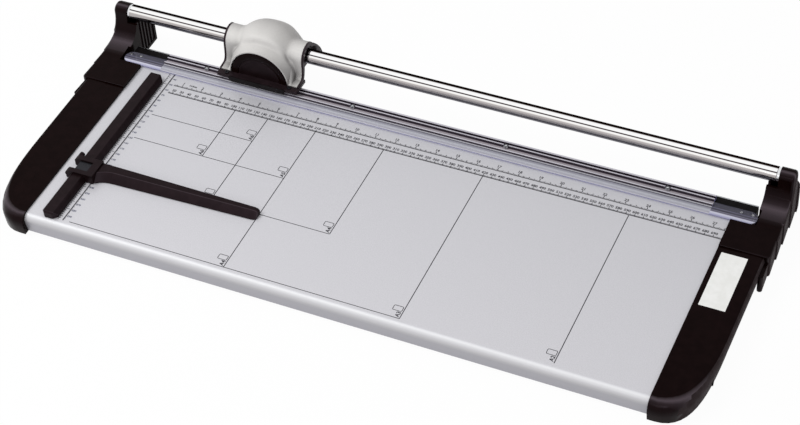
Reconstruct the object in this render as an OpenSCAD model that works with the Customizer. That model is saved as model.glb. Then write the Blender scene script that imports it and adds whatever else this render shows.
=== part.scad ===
// Rolling paper trimmer: a printed table between two end caps, a round guide rail on two
// brackets behind it, and a cutting head that slides along the rail with a round blade.
// Frame: X runs along the cut, -Y faces the user, +Z is up. The origin is on the desk, under
// the middle of the machine's bounding box. Inside at_table(), y = 0 is the cut line and
// z = 0 is the paper surface.

/* [Table] */
// Height of the paper surface above the desk
board_z = 28; // [26:0.5:36]
// From the middle of the machine to the inner edge of an end cap
cap_inner = 369.5; // [340:0.5:420]
// How far the board runs on under an end cap
board_inset = 22.5; // [16:0.5:26]
// From the cut line to the front of the board's nose
nose_reach = 308; // [280:1:340]
// Height of the front nose
nose_h = 25; // [23.5:0.1:25.4]
// Radius of the nose's top edge
nose_r = 8; // [4:0.5:12]
// How far the foot of the nose leans back
nose_lean = 2.5; // [0:0.5:5]
// Sheet thickness of the table top
skin_t = 1.5; // [1:0.1:2]
// Thickness of the pressed board under the sheet
core_t = 20; // [17:0.5:20.5]
// Depth of the black knife beam behind the sheet
beam_d = 11.2; // [9:0.1:14]

/* [Lower blade] */
// Thickness of the lower blade
lower_blade_t = 1.6; // [1.2:0.1:2.5]
// Height of the lower blade
lower_blade_h = 17; // [14:0.5:19]
// Depth of the lower blade's screws below the paper surface
lower_screw_z = 12; // [10.5:0.5:13]
// Number of lower blade screws
lower_screw_n = 9; // [5:1:15]
// Shank diameter of the lower blade's screws
lower_screw_d = 3; // [2.5:0.1:3.5]
// Length of the lower blade's screws
lower_screw_len = 9; // [6:0.5:10]

/* [End caps] */
// Width of an end cap at its top
cap_w = 53.3; // [48:0.1:56]
// How far the cap stands in front of the nose
cap_nose = 5.5; // [3:0.5:8]
// Height of the cap over the paper surface
cap_rise = 2.5; // [1.5:0.1:3.5]
// Size of the cap's rounded front corner in plan
cap_corner = 41; // [30:1:46]
// How far the side of the cap draws in at its foot
cap_draft = 4.5; // [2:0.5:8]
// Radius of the cap's nose seen from the side
cap_nose_r = 12; // [6:0.5:16]
// Radius of the cap's long outer edge
cap_edge_r = 5; // [2:0.5:7]
// Gap between the desk and the lower edge of caps and brackets
foot_gap = 2.5; // [1.5:0.1:4]
// Wall of the cap
cap_wall = 3; // [2:0.1:4]
// Width of the flange under the board
flange_w = 18; // [12:0.5:20]
// Pitch of the stiffening ribs in the cap
rib_pitch = 46; // [30:1:60]
// Thickness of the stiffening ribs
rib_t = 2.5; // [1.5:0.1:4]
// Pitch of the grip scales on caps and brackets
scale_pitch = 25; // [20:0.5:28]
// How far each grip scale stands out
scale_out = 2.5; // [1:0.1:3]

/* [Rail and brackets] */
// Rail diameter
rail_d = 18; // [14:0.5:19]
// Wall of the rail tube
rail_wall = 2; // [1:0.1:3]
// How far the rail lies behind the cut line
rail_y = 18.5; // [17:0.5:20]
// Height of the rail's axis over the paper surface
rail_z = 36.5; // [34:0.5:40]
// Width of the bright collar at each end of the rail
collar_w = 3; // [1.5:0.1:5]
// How deep each collar's plug sits in the rail
plug_len = 16; // [8:0.5:24]
// Diameter of the collar's spigot in the bracket head
spigot_d = 11; // [8:0.5:12]
// How deep each spigot sits in its bracket head
spigot_len = 13; // [8:0.5:15]
// From the inner edge of an end cap to the inner face of a bracket head
head_in = 38.5; // [36:0.5:42]
// From the inner edge of an end cap to the inner face of a bracket column
column_in = 26; // [24.5:0.5:30]
// Width of a bracket from the inner edge of its end cap
bracket_w = 58; // [56:0.5:64]
// Front edge of a bracket, in front of the cut line
bracket_front = 77; // [60:1:90]
// How far the bracket's lower lobe runs on in front of that edge
lobe_reach = 24; // [16:0.5:27]
// Top of the bracket's flat part over the paper surface
bracket_rise = 4.5; // [3.5:0.1:6]
// Rear face of a bracket, behind the cut line
bracket_rear = 47; // [42:1:56]
// How far the round bracket head stands out around the rail
head_over = 0.8; // [0.3:0.1:2.5]
// Wall of the bracket column
column_wall = 4; // [3:0.1:5]
// Rounding of the bracket's outer edge
bracket_edge = 5; // [2:0.1:6]
// Gap between the rail and its cradle in the bracket column
cradle_gap = 2; // [1:0.1:3]
// Number of ribs on a bracket's inner panel
panel_ribs = 4; // [2:1:6]
// Thickness of the inner panel
panel_t = 2.2; // [1.5:0.1:3]
// Height of the ribs on the inner panel
panel_rib_h = 1.5; // [0.5:0.1:2]

/* [Clamp strip] */
// Thickness of the clear strip
strip_t = 2; // [1.5:0.1:2.5]
// Front edge of the strip, in front of the cut line
strip_front = 33; // [28:0.5:38]
// Rear edge of the strip, in front of the cut line
strip_rear = 5; // [3.5:0.5:7]
// Front edge of the strip's raised part
strip_ridge = 20.7; // [18:0.1:24]
// Top of the strip's ribs over the paper surface
strip_top = 5.1; // [4.6:0.1:5.6]
// Width of each rib on the strip
strip_rib = 1.6; // [1:0.1:2]
// From the inner edge of an end cap to the end of the strip's raised part
raised_in = 25; // [20:0.5:40]
// How far the strip's ends run into the brackets
strip_over = 1.5; // [0:0.1:4]
// Gap around the strip's ends in the brackets
strip_end_gap = 1.5; // [1:0.1:3]
// Rise of the strip that lets paper in
strip_lift = 1.2; // [0.6:0.1:1.5]
// Gap under the strip when it is down
strip_rest = 0.3; // [0.3:0.05:0.5]
// Shank diameter of the screws and pins that guide the strip
guide_pin_d = 3; // [2.5:0.1:3.5]
// Pitch of the four strip screws, as a share of the raised part
strip_screw_share = 0.281; // [0.24:0.001:0.3]
// Radial clearance of the strip on its screws and pins
pin_fit = 0.08; // [0.05:0.01:0.1]
// Head diameter of the strip screws
strip_head_d = 6; // [5:0.1:7]

/* [Cutting head] */
// Place of the head at rest, from the middle of the machine
head_x = -218.1; // [-330:0.1:330]
// Length of the head along the rail
head_len = 105.4; // [96:0.1:110]
// Underside of the head's front bar over the paper surface
bar_under = 8; // [7.5:0.1:9]
// Height of the front bar
bar_h = 4; // [3:0.1:5]
// Front of the front bar, in front of the cut line
bar_front = 21.7; // [20:0.1:23]
// Depth of the bar's ledge in front of the blade cover
bar_ledge = 7.2; // [6.5:0.1:8]
// Radius of the round crown over the rail
crown_r = 38.3; // [37:0.1:42]
// Height of the crown's centre over the paper surface
crown_z = 28.2; // [26.5:0.1:29]
// Half length of the crown along the rail
crown_half = 33; // [31:0.5:36]
// Wall of the head shell
shell_t = 2.2; // [1.6:0.1:2.6]
// How much the hood around the cover widens towards the crown
hood_flare = 5; // [3:0.5:6]
// Wall of the hood at its front edge
hood_edge = 1.2; // [0.8:0.1:1.6]
// Radius of the half round blade cover
cover_r = 37.2; // [34:0.1:39]
// Wall of the blade cover
cover_t = 2.6; // [2:0.1:3.5]
// Radius of the raised ring on the cover
ring_r = 27; // [20:0.5:30]
// Gap between cover and shell
cover_gap = 0.3; // [0.1:0.1:0.6]
// Length of each rail bush
bush_len = 20; // [12:0.5:24]
// Wall of a rail bush
bush_t = 2; // [1.5:0.1:3]
// Radial clearance of the bush on the rail
bush_fit = 0.05; // [0.02:0.01:0.1]
// Wall of the carriage around a bush
carriage_wall = 2.2; // [1.5:0.1:2.4]
// Wall of the neck of the head around the rail, with all that it holds
neck_over = 7.4; // [6.8:0.1:8]
// Thickness of the carriage web behind the blade
web_t = 3; // [2:0.1:3.5]

/* [Round blade] */
// Blade diameter
blade_d = 45; // [40:0.5:50]
// Blade thickness
blade_t = 0.6; // [0.4:0.1:0.8]
// Gap between the round blade and the lower blade
blade_gap = 0.1; // [0.05:0.01:0.15]
// How deep the blade dips below the paper surface
blade_dip = 5.5; // [4:0.1:7]
// Width of the ground bevel on the blade
blade_bevel = 1.6; // [1:0.1:2.5]
// Axle diameter
axle_d = 6; // [5:0.1:8]
// Radial clearance of the hub on the axle
axle_fit = 0.05; // [0.02:0.01:0.1]
// Hub flange diameter
hub_d = 16; // [13:0.5:20]

/* [Side guide and stop] */
// From the inner edge of the left end cap to the edge that the paper lies against
guide_in = 38.5; // [30:0.5:60]
// Width of the guide bar
guide_w = 20; // [17:0.5:24]
// Height of the guide bar
guide_h = 9; // [7:0.5:11]
// Bevel along the guide bar's edges
guide_bevel = 3.5; // [2:0.1:4]
// Cut off the corners of the guide bar in plan
guide_corner = 5; // [1:0.5:8]
// Rear end of the guide bar, in front of the cut line
guide_rear = 45; // [40:0.5:60]
// From the front of the nose to the front end of the guide bar
guide_end = 7.5; // [6:0.5:20]
// Rear face of the paper stop at rest, in front of the cut line
stop_face = 207; // [100:0.5:250]
// Length of the stop's arm from the paper edge
stop_len = 211; // [150:1:250]
// Height of the stop's arm
stop_h = 10; // [8:0.5:12]
// Depth of the arm at its root
stop_root = 20; // [16:0.5:24]
// Depth of the arm at its tip
stop_tip = 14; // [10:0.5:18]
// Gap between the stop and the board or bar
stop_gap = 0.3; // [0.2:0.05:0.5]
// Thickness of the yoke over the bar
yoke_t = 2.8; // [2:0.1:3.5]
// Depth of the yoke along the bar
yoke_len = 28; // [24:0.5:34]

/* [Fasteners and feet] */
// Shank diameter of the cap and bracket screws
cap_screw_d = 4; // [3:0.1:5]
// Head diameter of the cap and bracket screws
cap_screw_head = 7.5; // [6:0.1:9]
// Length of the cap and bracket screws
cap_screw_len = 15; // [10:0.5:16]
// Diameter of a rubber foot
foot_d = 15; // [10:0.5:18]
// Diameter of the stub that holds a foot
foot_stub_d = 6; // [4:0.5:8]
// Length of that stub
foot_stub = 3; // [2:0.5:4]

/* [Hidden] */
eps = 0.01;
fine = 48;

crown_rear = rail_y + crown_r;
front_reach = nose_reach + cap_nose;
cap_outer = cap_inner + cap_w;
head_face = cap_inner + head_in;
column_face = cap_inner + column_in;
bracket_outer = cap_inner + bracket_w;
strip_raised = cap_inner - raised_in;
strip_screw_pitch = 2 * strip_raised * strip_screw_share;
paper_edge = cap_inner - guide_in;
guide_front = nose_reach - guide_end;
cut_y = (front_reach - crown_rear) / 2;
sheet_rear = lower_blade_t + beam_d;
board_end = cap_inner + board_inset;
foot_z = foot_gap - board_z;
core_under = -skin_t - core_t;
rail_r = rail_d / 2;
rail_half = head_face - collar_w;
head_r = rail_r + head_over;
spigot_end = head_face + spigot_len;
strip_end = column_face + strip_over;
pin_hole_d = guide_pin_d + 2 * pin_fit;
blade_r = blade_d / 2;
blade_z = blade_r - blade_dip;
bar_top = bar_under + bar_h;
head_half = head_len / 2;
web_y = blade_gap + blade_t + 2.2;

module at_table() translate([0, cut_y, board_z]) children();
module at_head() at_table() translate([head_x, 0, 0]) children();
// Turns a drawing in (y, z) into a bar along X from x0 to x1
module along_x(x0, x1) translate([x0, 0, 0]) rotate([90, 0, 90]) linear_extrude(x1 - x0) children();
// A rod along Y from y0 to y1 at height z
module rod_y(d, y0, y1, z) translate([0, y0, z]) rotate([-90, 0, 0]) cylinder(h = y1 - y0, d = d, $fn = fine);
// The right hand piece, or its mirror image on the left
module side(s) if (s > 0) children(); else mirror([1, 0, 0]) children();

function arc(c, r, a0, a1, n) =
    [for (i = [0:n]) let (a = a0 + (a1 - a0) * i / n) [c.x + r * cos(a), c.y + r * sin(a)]];
function bezier(p, n) = [for (i = [0:n]) let (t = i / n, u = 1 - t)
    u * u * u * p[0] + 3 * u * u * t * p[1] + 3 * u * t * t * p[2] + t * t * t * p[3]];
function ring_faces(k, n) = [for (j = [0:k - 2], i = [0:n - 1]) each
    [[j * n + i, j * n + (i + 1) % n, (j + 1) * n + i],
     [j * n + (i + 1) % n, (j + 1) * n + (i + 1) % n, (j + 1) * n + i]]];
// Closes a ring of n points, counted from s, with rungs between point i and point n - 1 - i
function end_faces(s, n) = [for (i = [0:n / 2 - 2]) each
    [[s + i, s + i + 1, s + n - 1 - i], [s + i + 1, s + n - 2 - i, s + n - 1 - i]]];
// A solid through rings of points that all have the same even count
module loft(rings) {
    n = len(rings[0]);
    k = len(rings);
    polyhedron(points = [for (r = rings) each r], convexity = 6,
        faces = concat([for (f = end_faces(0, n)) [f[2], f[1], f[0]]], ring_faces(k, n),
            end_faces((k - 1) * n, n)));
}

// Table

// Outline of the board seen from the side: t in from the outside, drawn back to the rear
function board_outline(t) = concat(
    [[-sheet_rear, -t]],
    arc([-nose_reach + nose_r, -nose_r], nose_r - t, 90, 180, 8),
    [[-nose_reach + nose_lean + t, -nose_h + t]]);

nose_lip = 8;
module table_top() color("#cfd0d4") at_table() difference() {
    along_x(-board_end, board_end) difference() {
        polygon(concat(board_outline(0), [[-nose_reach + nose_lean + nose_lip, -nose_h],
            [-nose_reach + nose_lean + nose_lip, -nose_h + skin_t],
            [-sheet_rear, -nose_h + skin_t]]));
        polygon(concat(board_outline(skin_t), [[-sheet_rear + eps, -nose_h + skin_t],
            [-sheet_rear + eps, -skin_t]]));
    }
    strip_guide_holes();
    guide_screw_holes();
}

core_front = nose_reach - skin_t - nose_lean - 4;
module core_board() color("#8a6a48") at_table() difference() {
    translate([-board_end, -core_front, core_under])
        cube([2 * board_end, core_front - sheet_rear, core_t]);
    cap_screw_holes();
    guide_screw_holes();
    strip_guide_holes();
}

module knife_beam() color("#1d1b1c") at_table() difference() {
    translate([-board_end, -sheet_rear, core_under])
        cube([2 * board_end, beam_d, -core_under]);
    strip_guide_holes();
    lower_screw_places() rod_y(lower_screw_d, -lower_screw_len, 0, 0);
    cap_screw_holes();
}

// Lower blade: its rear face is the cut line, and its top edge is the cutting edge
lower_screw_in = 20;
lower_pitch = 2 * (board_end - lower_screw_in) / (lower_screw_n - 1);
module lower_screw_places() for (i = [0:lower_screw_n - 1])
    translate([-board_end + lower_screw_in + i * lower_pitch, 0, -lower_screw_z]) children();
module countersunk(d) {
    rod_y(d, -lower_screw_len, 0, 0);
    rotate([90, 0, 0]) cylinder(h = d * 0.5, d1 = 2 * d, d2 = d, $fn = fine);
}
module lower_blade() color("#a9abad") at_table() difference() {
    translate([-board_end, -lower_blade_t, -lower_blade_h])
        cube([2 * board_end, lower_blade_t, lower_blade_h]);
    lower_screw_places() countersunk(lower_screw_d);
}
module lower_blade_screws() color("#6f7174") at_table() lower_screw_places() difference() {
    countersunk(lower_screw_d);
    rod_y(lower_screw_d * 0.7, -1.2, eps, 0);
}

// End caps

// Plan outline of a right hand cap: s in from the side, f in from the nose, c softens the corner
cap_flat = nose_reach - 118;
function cap_outline(s, f, c) = let (xo = cap_outer - s, yf = -front_reach + f)
    concat([[cap_inner, yf], [cap_inner, -bracket_front], [xo, -bracket_front]],
        bezier([[xo, -cap_flat], [xo + 1 - c, -front_reach + 52 + 12 * c],
            [xo - 3 - 3 * c, yf + 8 * c], [xo - cap_corner, yf]], 14));
function cap_level(z, s, f, c) = [for (p = cap_outline(s, f, c)) [p.x, p.y, z]];
module cap_body() {
    e = cap_edge_r;
    n = cap_nose_r;
    rise = cap_rise;
    loft(concat(
        [cap_level(foot_z, cap_draft, 1.5, 0), cap_level(foot_z + 10, cap_draft * 0.6, 0, 0.3)],
        [for (i = [0:5]) let (a = 90 * i / 5) cap_level(rise - n * (1 - sin(a)),
            e * (1 - cos(a)) + cap_draft * 0.25 * (1 - sin(a)), n * (1 - cos(a)), 0.5 + i / 10)]));
}
// Wedge shaped grip scales that follow the outer side; each ends in a step at its front
module grip_scale(len, out) polygon([[-3, 0], [out, -len], [-3, -len]]);
cap_scale_at = [[-4.5, 111, 0], [-4.5, 86, 4], [-8, 61, 12]];
module cap_scales() for (p = cap_scale_at)
    translate([cap_outer + p[0], p[1] - nose_reach, foot_z + 2]) rotate([0, 0, -p[2]])
        linear_extrude(cap_rise - foot_z - 2 - cap_edge_r - 3) grip_scale(scale_pitch, scale_out);
// Cells between stiffening ribs, open at the foot, from y0 to y1 and out to x1
module rib_cells(y0, y1, x1, top) {
    n = max(1, floor((y1 - y0 + rib_t) / rib_pitch));
    pitch = (y1 - y0 + rib_t) / n;
    for (i = [0:n - 1]) translate([board_end + cap_wall, y0 + i * pitch, foot_z - eps])
        cube([x1 - board_end - cap_wall, pitch - rib_t, top - foot_z + eps]);
}
module cap_cavity() difference() {
    intersection() {
        rib_cells(-front_reach + 30, -bracket_front - lobe_reach - cap_wall, cap_outer, cap_rise - cap_wall);
        translate([0, 0, -board_z]) linear_extrude(2 * board_z)
            polygon(cap_outline(cap_draft + cap_wall, cap_nose_r, 1));
    }
    foot_places() cylinder(h = board_z, d = foot_stub_d + 2 * cap_wall, $fn = fine);
}
module end_cap(s) color("#191516") at_table() side(s) difference() {
    union() {
        cap_body();
        cap_scales();
    }
    board_pocket();
    cap_cavity();
    cap_screw_holes();
    cap_screw_heads();
    foot_holes();
    lobe(lobe_gap);
}
// The room that the board and its beam take in a cap or bracket
pocket_gap = 0.1;
module board_pocket() along_x(cap_inner - 1, board_end + 2 * pocket_gap) {
    polygon(concat(board_outline(-pocket_gap), [[-nose_reach + nose_lean + flange_w, -nose_h - 1],
        [-nose_reach + nose_lean + flange_w, core_under], [1, core_under], [1, pocket_gap / 2]]));
}
module left_end_cap() end_cap(-1);
module right_end_cap() end_cap(1);

// Rail brackets

// Top line of a bracket seen from the side, drawn in by i: flat, sweep up to the rail head, back
function bracket_top(i) = let (hr = head_r - 1.4 * i, top = bracket_rise - 0.8 * i)
    concat([[-bracket_front + i, top - 1], [-bracket_front + 1 + i, top]],
        bezier([[-38, top], [-8, top + 1], [rail_y - head_r - 2 + i, top + 4],
            [rail_y - hr, rail_z - 4]], 10),
        arc([rail_y, rail_z], hr, 170, 0, 14),
        bezier([[rail_y + hr, rail_z - 6], [rail_y + hr + 3, rail_z - 20], [bracket_rear - i, 14],
            [bracket_rear - i, -6]], 6));
// Points on the foot, nearly under those of the top line
function bracket_foot(top) = let (n = len(top) - 1, y0 = top[0].x, y1 = top[n].x)
    [for (i = [n:-1:0]) [0.95 * top[i].x + 0.05 * (y0 + (y1 - y0) * i / n), foot_z]];
function bracket_slice(x, i) = let (top = bracket_top(i))
    [for (p = concat(top, bracket_foot(top))) [x, p.x, p.y]];
module bracket_side() difference() {
    e = bracket_edge;
    loft(concat([bracket_slice(column_face - 1, 0)],
        [for (k = [0:4]) let (a = 90 * k / 4)
            bracket_slice(bracket_outer - e * (1 - sin(a)), e * (1 - cos(a)))]));
    translate([column_face - 2, -bracket_front - 1, foot_z - 1])
        cube([2, bracket_front + bracket_rear + 2, rail_z + 2 * rail_d - foot_z]);
}
// Opens the column towards the front around the rail, up to the bracket head
module rail_cradle() along_x(column_face - 1, head_face) {
    translate([rail_y, rail_z]) circle(r = rail_r + cradle_gap, $fn = fine);
    translate([rail_y - 3 * rail_d, rail_z - rail_r - cradle_gap]) square([3 * rail_d, 3 * rail_d]);
    translate([rail_y - 3 * rail_d, rail_z + rail_r * 0.6])
        square([3 * rail_d + rail_r + cradle_gap, 3 * rail_d]);
}
// Open pocket in the bracket for the strip's rounded end
module strip_pocket() translate([cap_inner - 1, -strip_front - strip_end_gap, 0])
    cube([strip_end + strip_end_gap - cap_inner + 1, end_w + 2 * strip_end_gap, rail_z]);
// Lobe at the foot of the bracket that runs on beside the cap, g larger all round
lobe_in = cap_outer - cap_draft + 2;
lobe_drop = 4;
lobe_gap = 0.3;
lobe_w = bracket_outer - 1 - lobe_in;
module lobe(g) translate([lobe_in, 0, foot_z]) linear_extrude(-foot_z - lobe_drop + g) {
    translate([-g, -bracket_front - lobe_reach + lobe_w / 2])
        square([lobe_w + 2 * g, lobe_reach - lobe_w / 2 + g + 1]);
    translate([lobe_w / 2, -bracket_front - lobe_reach + lobe_w / 2])
        circle(r = lobe_w / 2 + g, $fn = fine);
}
column_inside = bracket_outer - max(column_wall, bracket_edge) - 1;
cavity_front = rail_y - head_r + column_wall - 2;
cavity_rear = bracket_rear - column_wall;
cavity_top = rail_z - head_r - 1;
module column_cavity_2d(g) polygon([[cavity_front + g, foot_z + column_wall + g],
    [cavity_rear - g, foot_z + column_wall + g], [cavity_rear - g, 2],
    [rail_y + head_r - column_wall - g, cavity_top - g], [cavity_front + g, cavity_top - g]]);
module rail_bracket(s) color("#191516") at_table() side(s) difference() {
    union() {
        bracket_side();
        lobe(0);
        translate([cap_inner, -bracket_front, foot_z])
            cube([column_face - cap_inner + eps, bracket_front - strip_front - 1, bracket_rise - foot_z]);
        translate([board_end - flange_w, -strip_front - 1, foot_z])
            cube([column_face - board_end + flange_w + eps, strip_front - 1, core_under - foot_z]);
    }
    board_pocket();
    strip_pocket();
    rail_cradle();
    along_x(column_face - eps, column_inside) column_cavity_2d(0);
    translate([0, rail_y, rail_z]) rotate([0, 90, 0]) cylinder(h = spigot_end, d = spigot_d, $fn = fine);
    rail_set_place() cylinder(h = set_len + head_r, d = set_d, $fn = fine);
    rib_cells(cap_wall - bracket_front, cavity_front - cap_wall, bracket_outer - 2 * cap_wall,
        -2 * cap_wall);
    cap_screw_holes();
    cap_screw_heads();
    foot_holes();
}
module left_rail_bracket() rail_bracket(-1);
module right_rail_bracket() rail_bracket(1);

panel_gap = 0.15;
module rib_panel(s) color("#120f10") at_table() side(s) {
    along_x(column_face + panel_rib_h, column_face + panel_rib_h + panel_t) column_cavity_2d(panel_gap);
    pitch = (cavity_rear - cavity_front) / (panel_ribs + 1);
    intersection() {
        for (i = [1:panel_ribs]) translate([column_face, cavity_front + i * pitch - 1, foot_z])
            cube([panel_rib_h + 1, 2, rail_z - foot_z]);
        along_x(column_face, column_face + panel_rib_h + 1) column_cavity_2d(panel_gap + 1);
    }
}
module left_rib_panel() rib_panel(-1);
module right_rib_panel() rib_panel(1);

module guide_rail() color("#d9dcdf") at_table() translate([-rail_half, rail_y, rail_z])
    rotate([0, 90, 0]) difference() {
        cylinder(h = 2 * rail_half, d = rail_d, $fn = fine);
        translate([0, 0, -eps]) cylinder(h = 2 * rail_half + 2 * eps, d = rail_d - 2 * rail_wall, $fn = fine);
    }
// A collar's plug sits in the rail and its spigot in the bracket head
module rail_collars() color("#eceef0") at_table() for (s = [-1, 1]) side(s)
    translate([rail_half, rail_y, rail_z]) rotate([0, 90, 0]) {
        cylinder(h = collar_w, d = rail_d - 0.8, $fn = fine);
        translate([0, 0, -plug_len]) cylinder(h = plug_len + eps, d = rail_d - 2 * rail_wall, $fn = fine);
        cylinder(h = collar_w + spigot_len, d = spigot_d, $fn = fine);
    }

// Set screws hold the spigots from behind
set_d = 4;
set_len = head_r - spigot_d / 2;
module rail_set_place() translate([head_face + spigot_len / 2, rail_y + spigot_d / 2, rail_z])
    rotate([-90, 0, 0]) children();
module rail_set_screws() color("#3a3a3d") at_table() for (s = [-1, 1]) side(s) rail_set_place()
    difference() {
        cylinder(h = set_len - 0.5, d = set_d, $fn = fine);
        translate([0, 0, 1.2]) cylinder(h = set_len, d = set_d * 0.55, $fn = 6);
    }

// Screws from below through cap and bracket flanges into the core board
cap_screw_x = board_end - flange_w / 2;
cap_screw_head_t = 1.8;
cap_slot_w = 0.8;
cap_screw_y = [36 - nose_reach, -(nose_reach + bracket_front) * 0.47, -bracket_front - 27, -48];
module cap_screw_places() for (s = [-1, 1], y = cap_screw_y)
    translate([s * cap_screw_x, y, foot_z]) children();
module cap_screw_holes() cap_screw_places() translate([0, 0, -eps])
    cylinder(h = cap_screw_len + eps, d = cap_screw_d, $fn = fine);
module cap_screw_heads() cap_screw_places() translate([0, 0, -eps])
    cylinder(h = cap_screw_head_t + eps, d = cap_screw_head, $fn = fine);
module cap_screws() color("#55565a") at_table() cap_screw_places() difference() {
    union() {
        cylinder(h = cap_screw_len, d = cap_screw_d, $fn = fine);
        cylinder(h = cap_screw_head_t, d = cap_screw_head, $fn = fine);
    }
    for (a = [0, 90]) rotate([0, 0, a]) translate([-cap_screw_head / 3, -cap_slot_w / 2, -eps])
        cube([cap_screw_head / 1.5, cap_slot_w, 1]);
}

foot_places_xy = [[cap_inner + 30.5, 28 - nose_reach], [cap_inner + 34.5, -nose_reach * 0.455],
    [cap_inner + 40.5, 30]];
module foot_places() for (s = [-1, 1], p = foot_places_xy) translate([s * p.x, p.y, -board_z]) children();
module foot_holes() foot_places() cylinder(h = foot_gap + foot_stub, d = foot_stub_d, $fn = fine);
module rubber_feet() color("#262527") at_table() foot_places() {
    cylinder(h = foot_gap, d = foot_d, $fn = fine);
    cylinder(h = foot_gap + foot_stub, d = foot_stub_d, $fn = fine);
}

// Side guide bar: its right face is the edge that the paper lies against

guide_screw_d = 4;
guide_screw_head = 8;
guide_screw_head_t = 2;
guide_screw_grip = 5;
guide_screw_depth = core_t + skin_t;
guide_screw_y = [-guide_rear - 35, 43 - nose_reach];
// Holes in sheet and board for the guide bar's screws
module guide_screw_holes() guide_screw_places() translate([0, 0, -nose_h])
    cylinder(h = 2 * nose_h, d = guide_screw_d, $fn = fine);
module guide_screw_places() for (y = guide_screw_y) translate([-paper_edge - guide_w / 2, y, 0]) children();
// Section of the guide bar, g outside the real one
function guide_section(g) = [[-guide_w + guide_bevel - g, 0], [-guide_w - g, guide_h / 2],
    [-guide_w + guide_bevel - g * 0.6, guide_h + g], [-guide_bevel + g * 0.6, guide_h + g],
    [g, guide_h * 0.45], [g, 0]];
module side_guide_bar() color("#1a1617") at_table() translate([-paper_edge, 0, 0]) difference() {
    translate([0, -guide_rear, 0]) rotate([90, 0, 0]) linear_extrude(guide_front - guide_rear)
        polygon(guide_section(0));
    for (p = [[-guide_w, -guide_front], [0, -guide_front], [-guide_w, -guide_rear], [0, -guide_rear]])
        translate([p.x, p.y, -1]) rotate([0, 0, 45]) linear_extrude(guide_h + 2)
            square(guide_corner * sqrt(2), center = true);
    for (y = guide_screw_y) translate([-guide_w / 2, y, -eps])
        cylinder(h = guide_screw_grip, d = guide_screw_d, $fn = fine);
    for (p = [[-guide_front, 1], [-guide_rear, -1]]) translate([-guide_w / 2, p[0], guide_h])
        rotate([p[1] * 45, 0, 0]) cube([3 * guide_w, 2.6, 2.6], center = true);
}
module guide_bar_screws() color("#55565a") at_table() guide_screw_places() {
    translate([0, 0, -guide_screw_depth])
        cylinder(h = guide_screw_depth + guide_screw_grip - eps, d = guide_screw_d, $fn = fine);
    translate([0, 0, core_under - guide_screw_head_t])
        cylinder(h = guide_screw_head_t, d = guide_screw_head, $fn = fine);
}

// Clamp strip with the screws and pins that guide it

pin_depth = 9;
pin_len = skin_t + 3;
end_over = 7;
end_w = strip_front - strip_ridge + end_over;
strip_screw_y = (strip_ridge + strip_rear) / 2;
pin_in = 6.3;
pin_pitch = 13.2;
strip_pin_x = [strip_end - pin_in - pin_pitch, strip_end - pin_in];
strip_pin_y = strip_ridge - 1.5;
module strip_screw_places() for (i = [-1.5:1:1.5])
    translate([i * strip_screw_pitch, -strip_screw_y, 0]) children();
// Holes in sheet, board and beam for the strip's screws and pins
module strip_guide_holes() {
    strip_screw_places() translate([0, 0, -pin_depth])
        cylinder(h = 2 * pin_depth, d = guide_pin_d, $fn = fine);
    end_pin_places() translate([0, 0, -pin_len]) cylinder(h = 2 * pin_len, d = guide_pin_d, $fn = fine);
}
module end_pin_places() for (s = [-1, 1], x = strip_pin_x) translate([s * x, -strip_pin_y, 0]) children();
strip_level = strip_rest + strip_t;
rear_rib = 1.5 * strip_rib;
strip_head_z = strip_level + strip_lift + 0.1;
module strip_screws() color("#c9ccd0") at_table() strip_screw_places() {
    translate([0, 0, -pin_depth]) cylinder(h = pin_depth + strip_head_z, d = guide_pin_d, $fn = fine);
    translate([0, 0, strip_head_z - eps]) difference() {
        cylinder(h = 1.5, d = strip_head_d, $fn = fine);
        translate([0, 0, 0.7]) cylinder(h = 1, d = strip_head_d * 0.5, $fn = 6);
    }
}
module strip_end_pins() color("#d5d8dc") at_table() end_pin_places() {
    translate([0, 0, -pin_len]) cylinder(h = pin_len + strip_level + strip_lift, d = guide_pin_d, $fn = fine);
}
module clamp_strip() color([0.75, 0.77, 0.92, 0.45]) at_table() difference() {
    translate([0, 0, strip_rest]) {
        translate([-strip_raised, -strip_front, 0])
            cube([2 * strip_raised, strip_front - strip_rear, strip_t]);
        linear_extrude(strip_t) for (s = [-1, 1]) {
            translate([s > 0 ? strip_raised - eps : -strip_end + end_w / 2, -strip_front])
                square([strip_end - strip_raised - end_w / 2 + eps, end_w]);
            translate([s * (strip_end - end_w / 2), -strip_front + end_w / 2]) circle(d = end_w, $fn = fine);
        }
        for (rib = [[strip_rear + rear_rib, rear_rib], [strip_rear + 3 * strip_rib + 2.5, strip_rib],
                [strip_ridge, strip_rib]]) translate([-strip_raised, -rib[0], 0])
            cube([2 * strip_raised, rib[1], strip_top - strip_rest]);
    }
    strip_screw_places() cylinder(h = 3 * strip_top, d = pin_hole_d, center = true, $fn = fine);
    strip_screw_places() translate([0, 0, strip_level])
        cylinder(h = strip_top, d = strip_head_d + 1, $fn = fine);
    end_pin_places() cylinder(h = 3 * strip_top, d = pin_hole_d, center = true, $fn = fine);
}

// Cutting head

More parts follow.
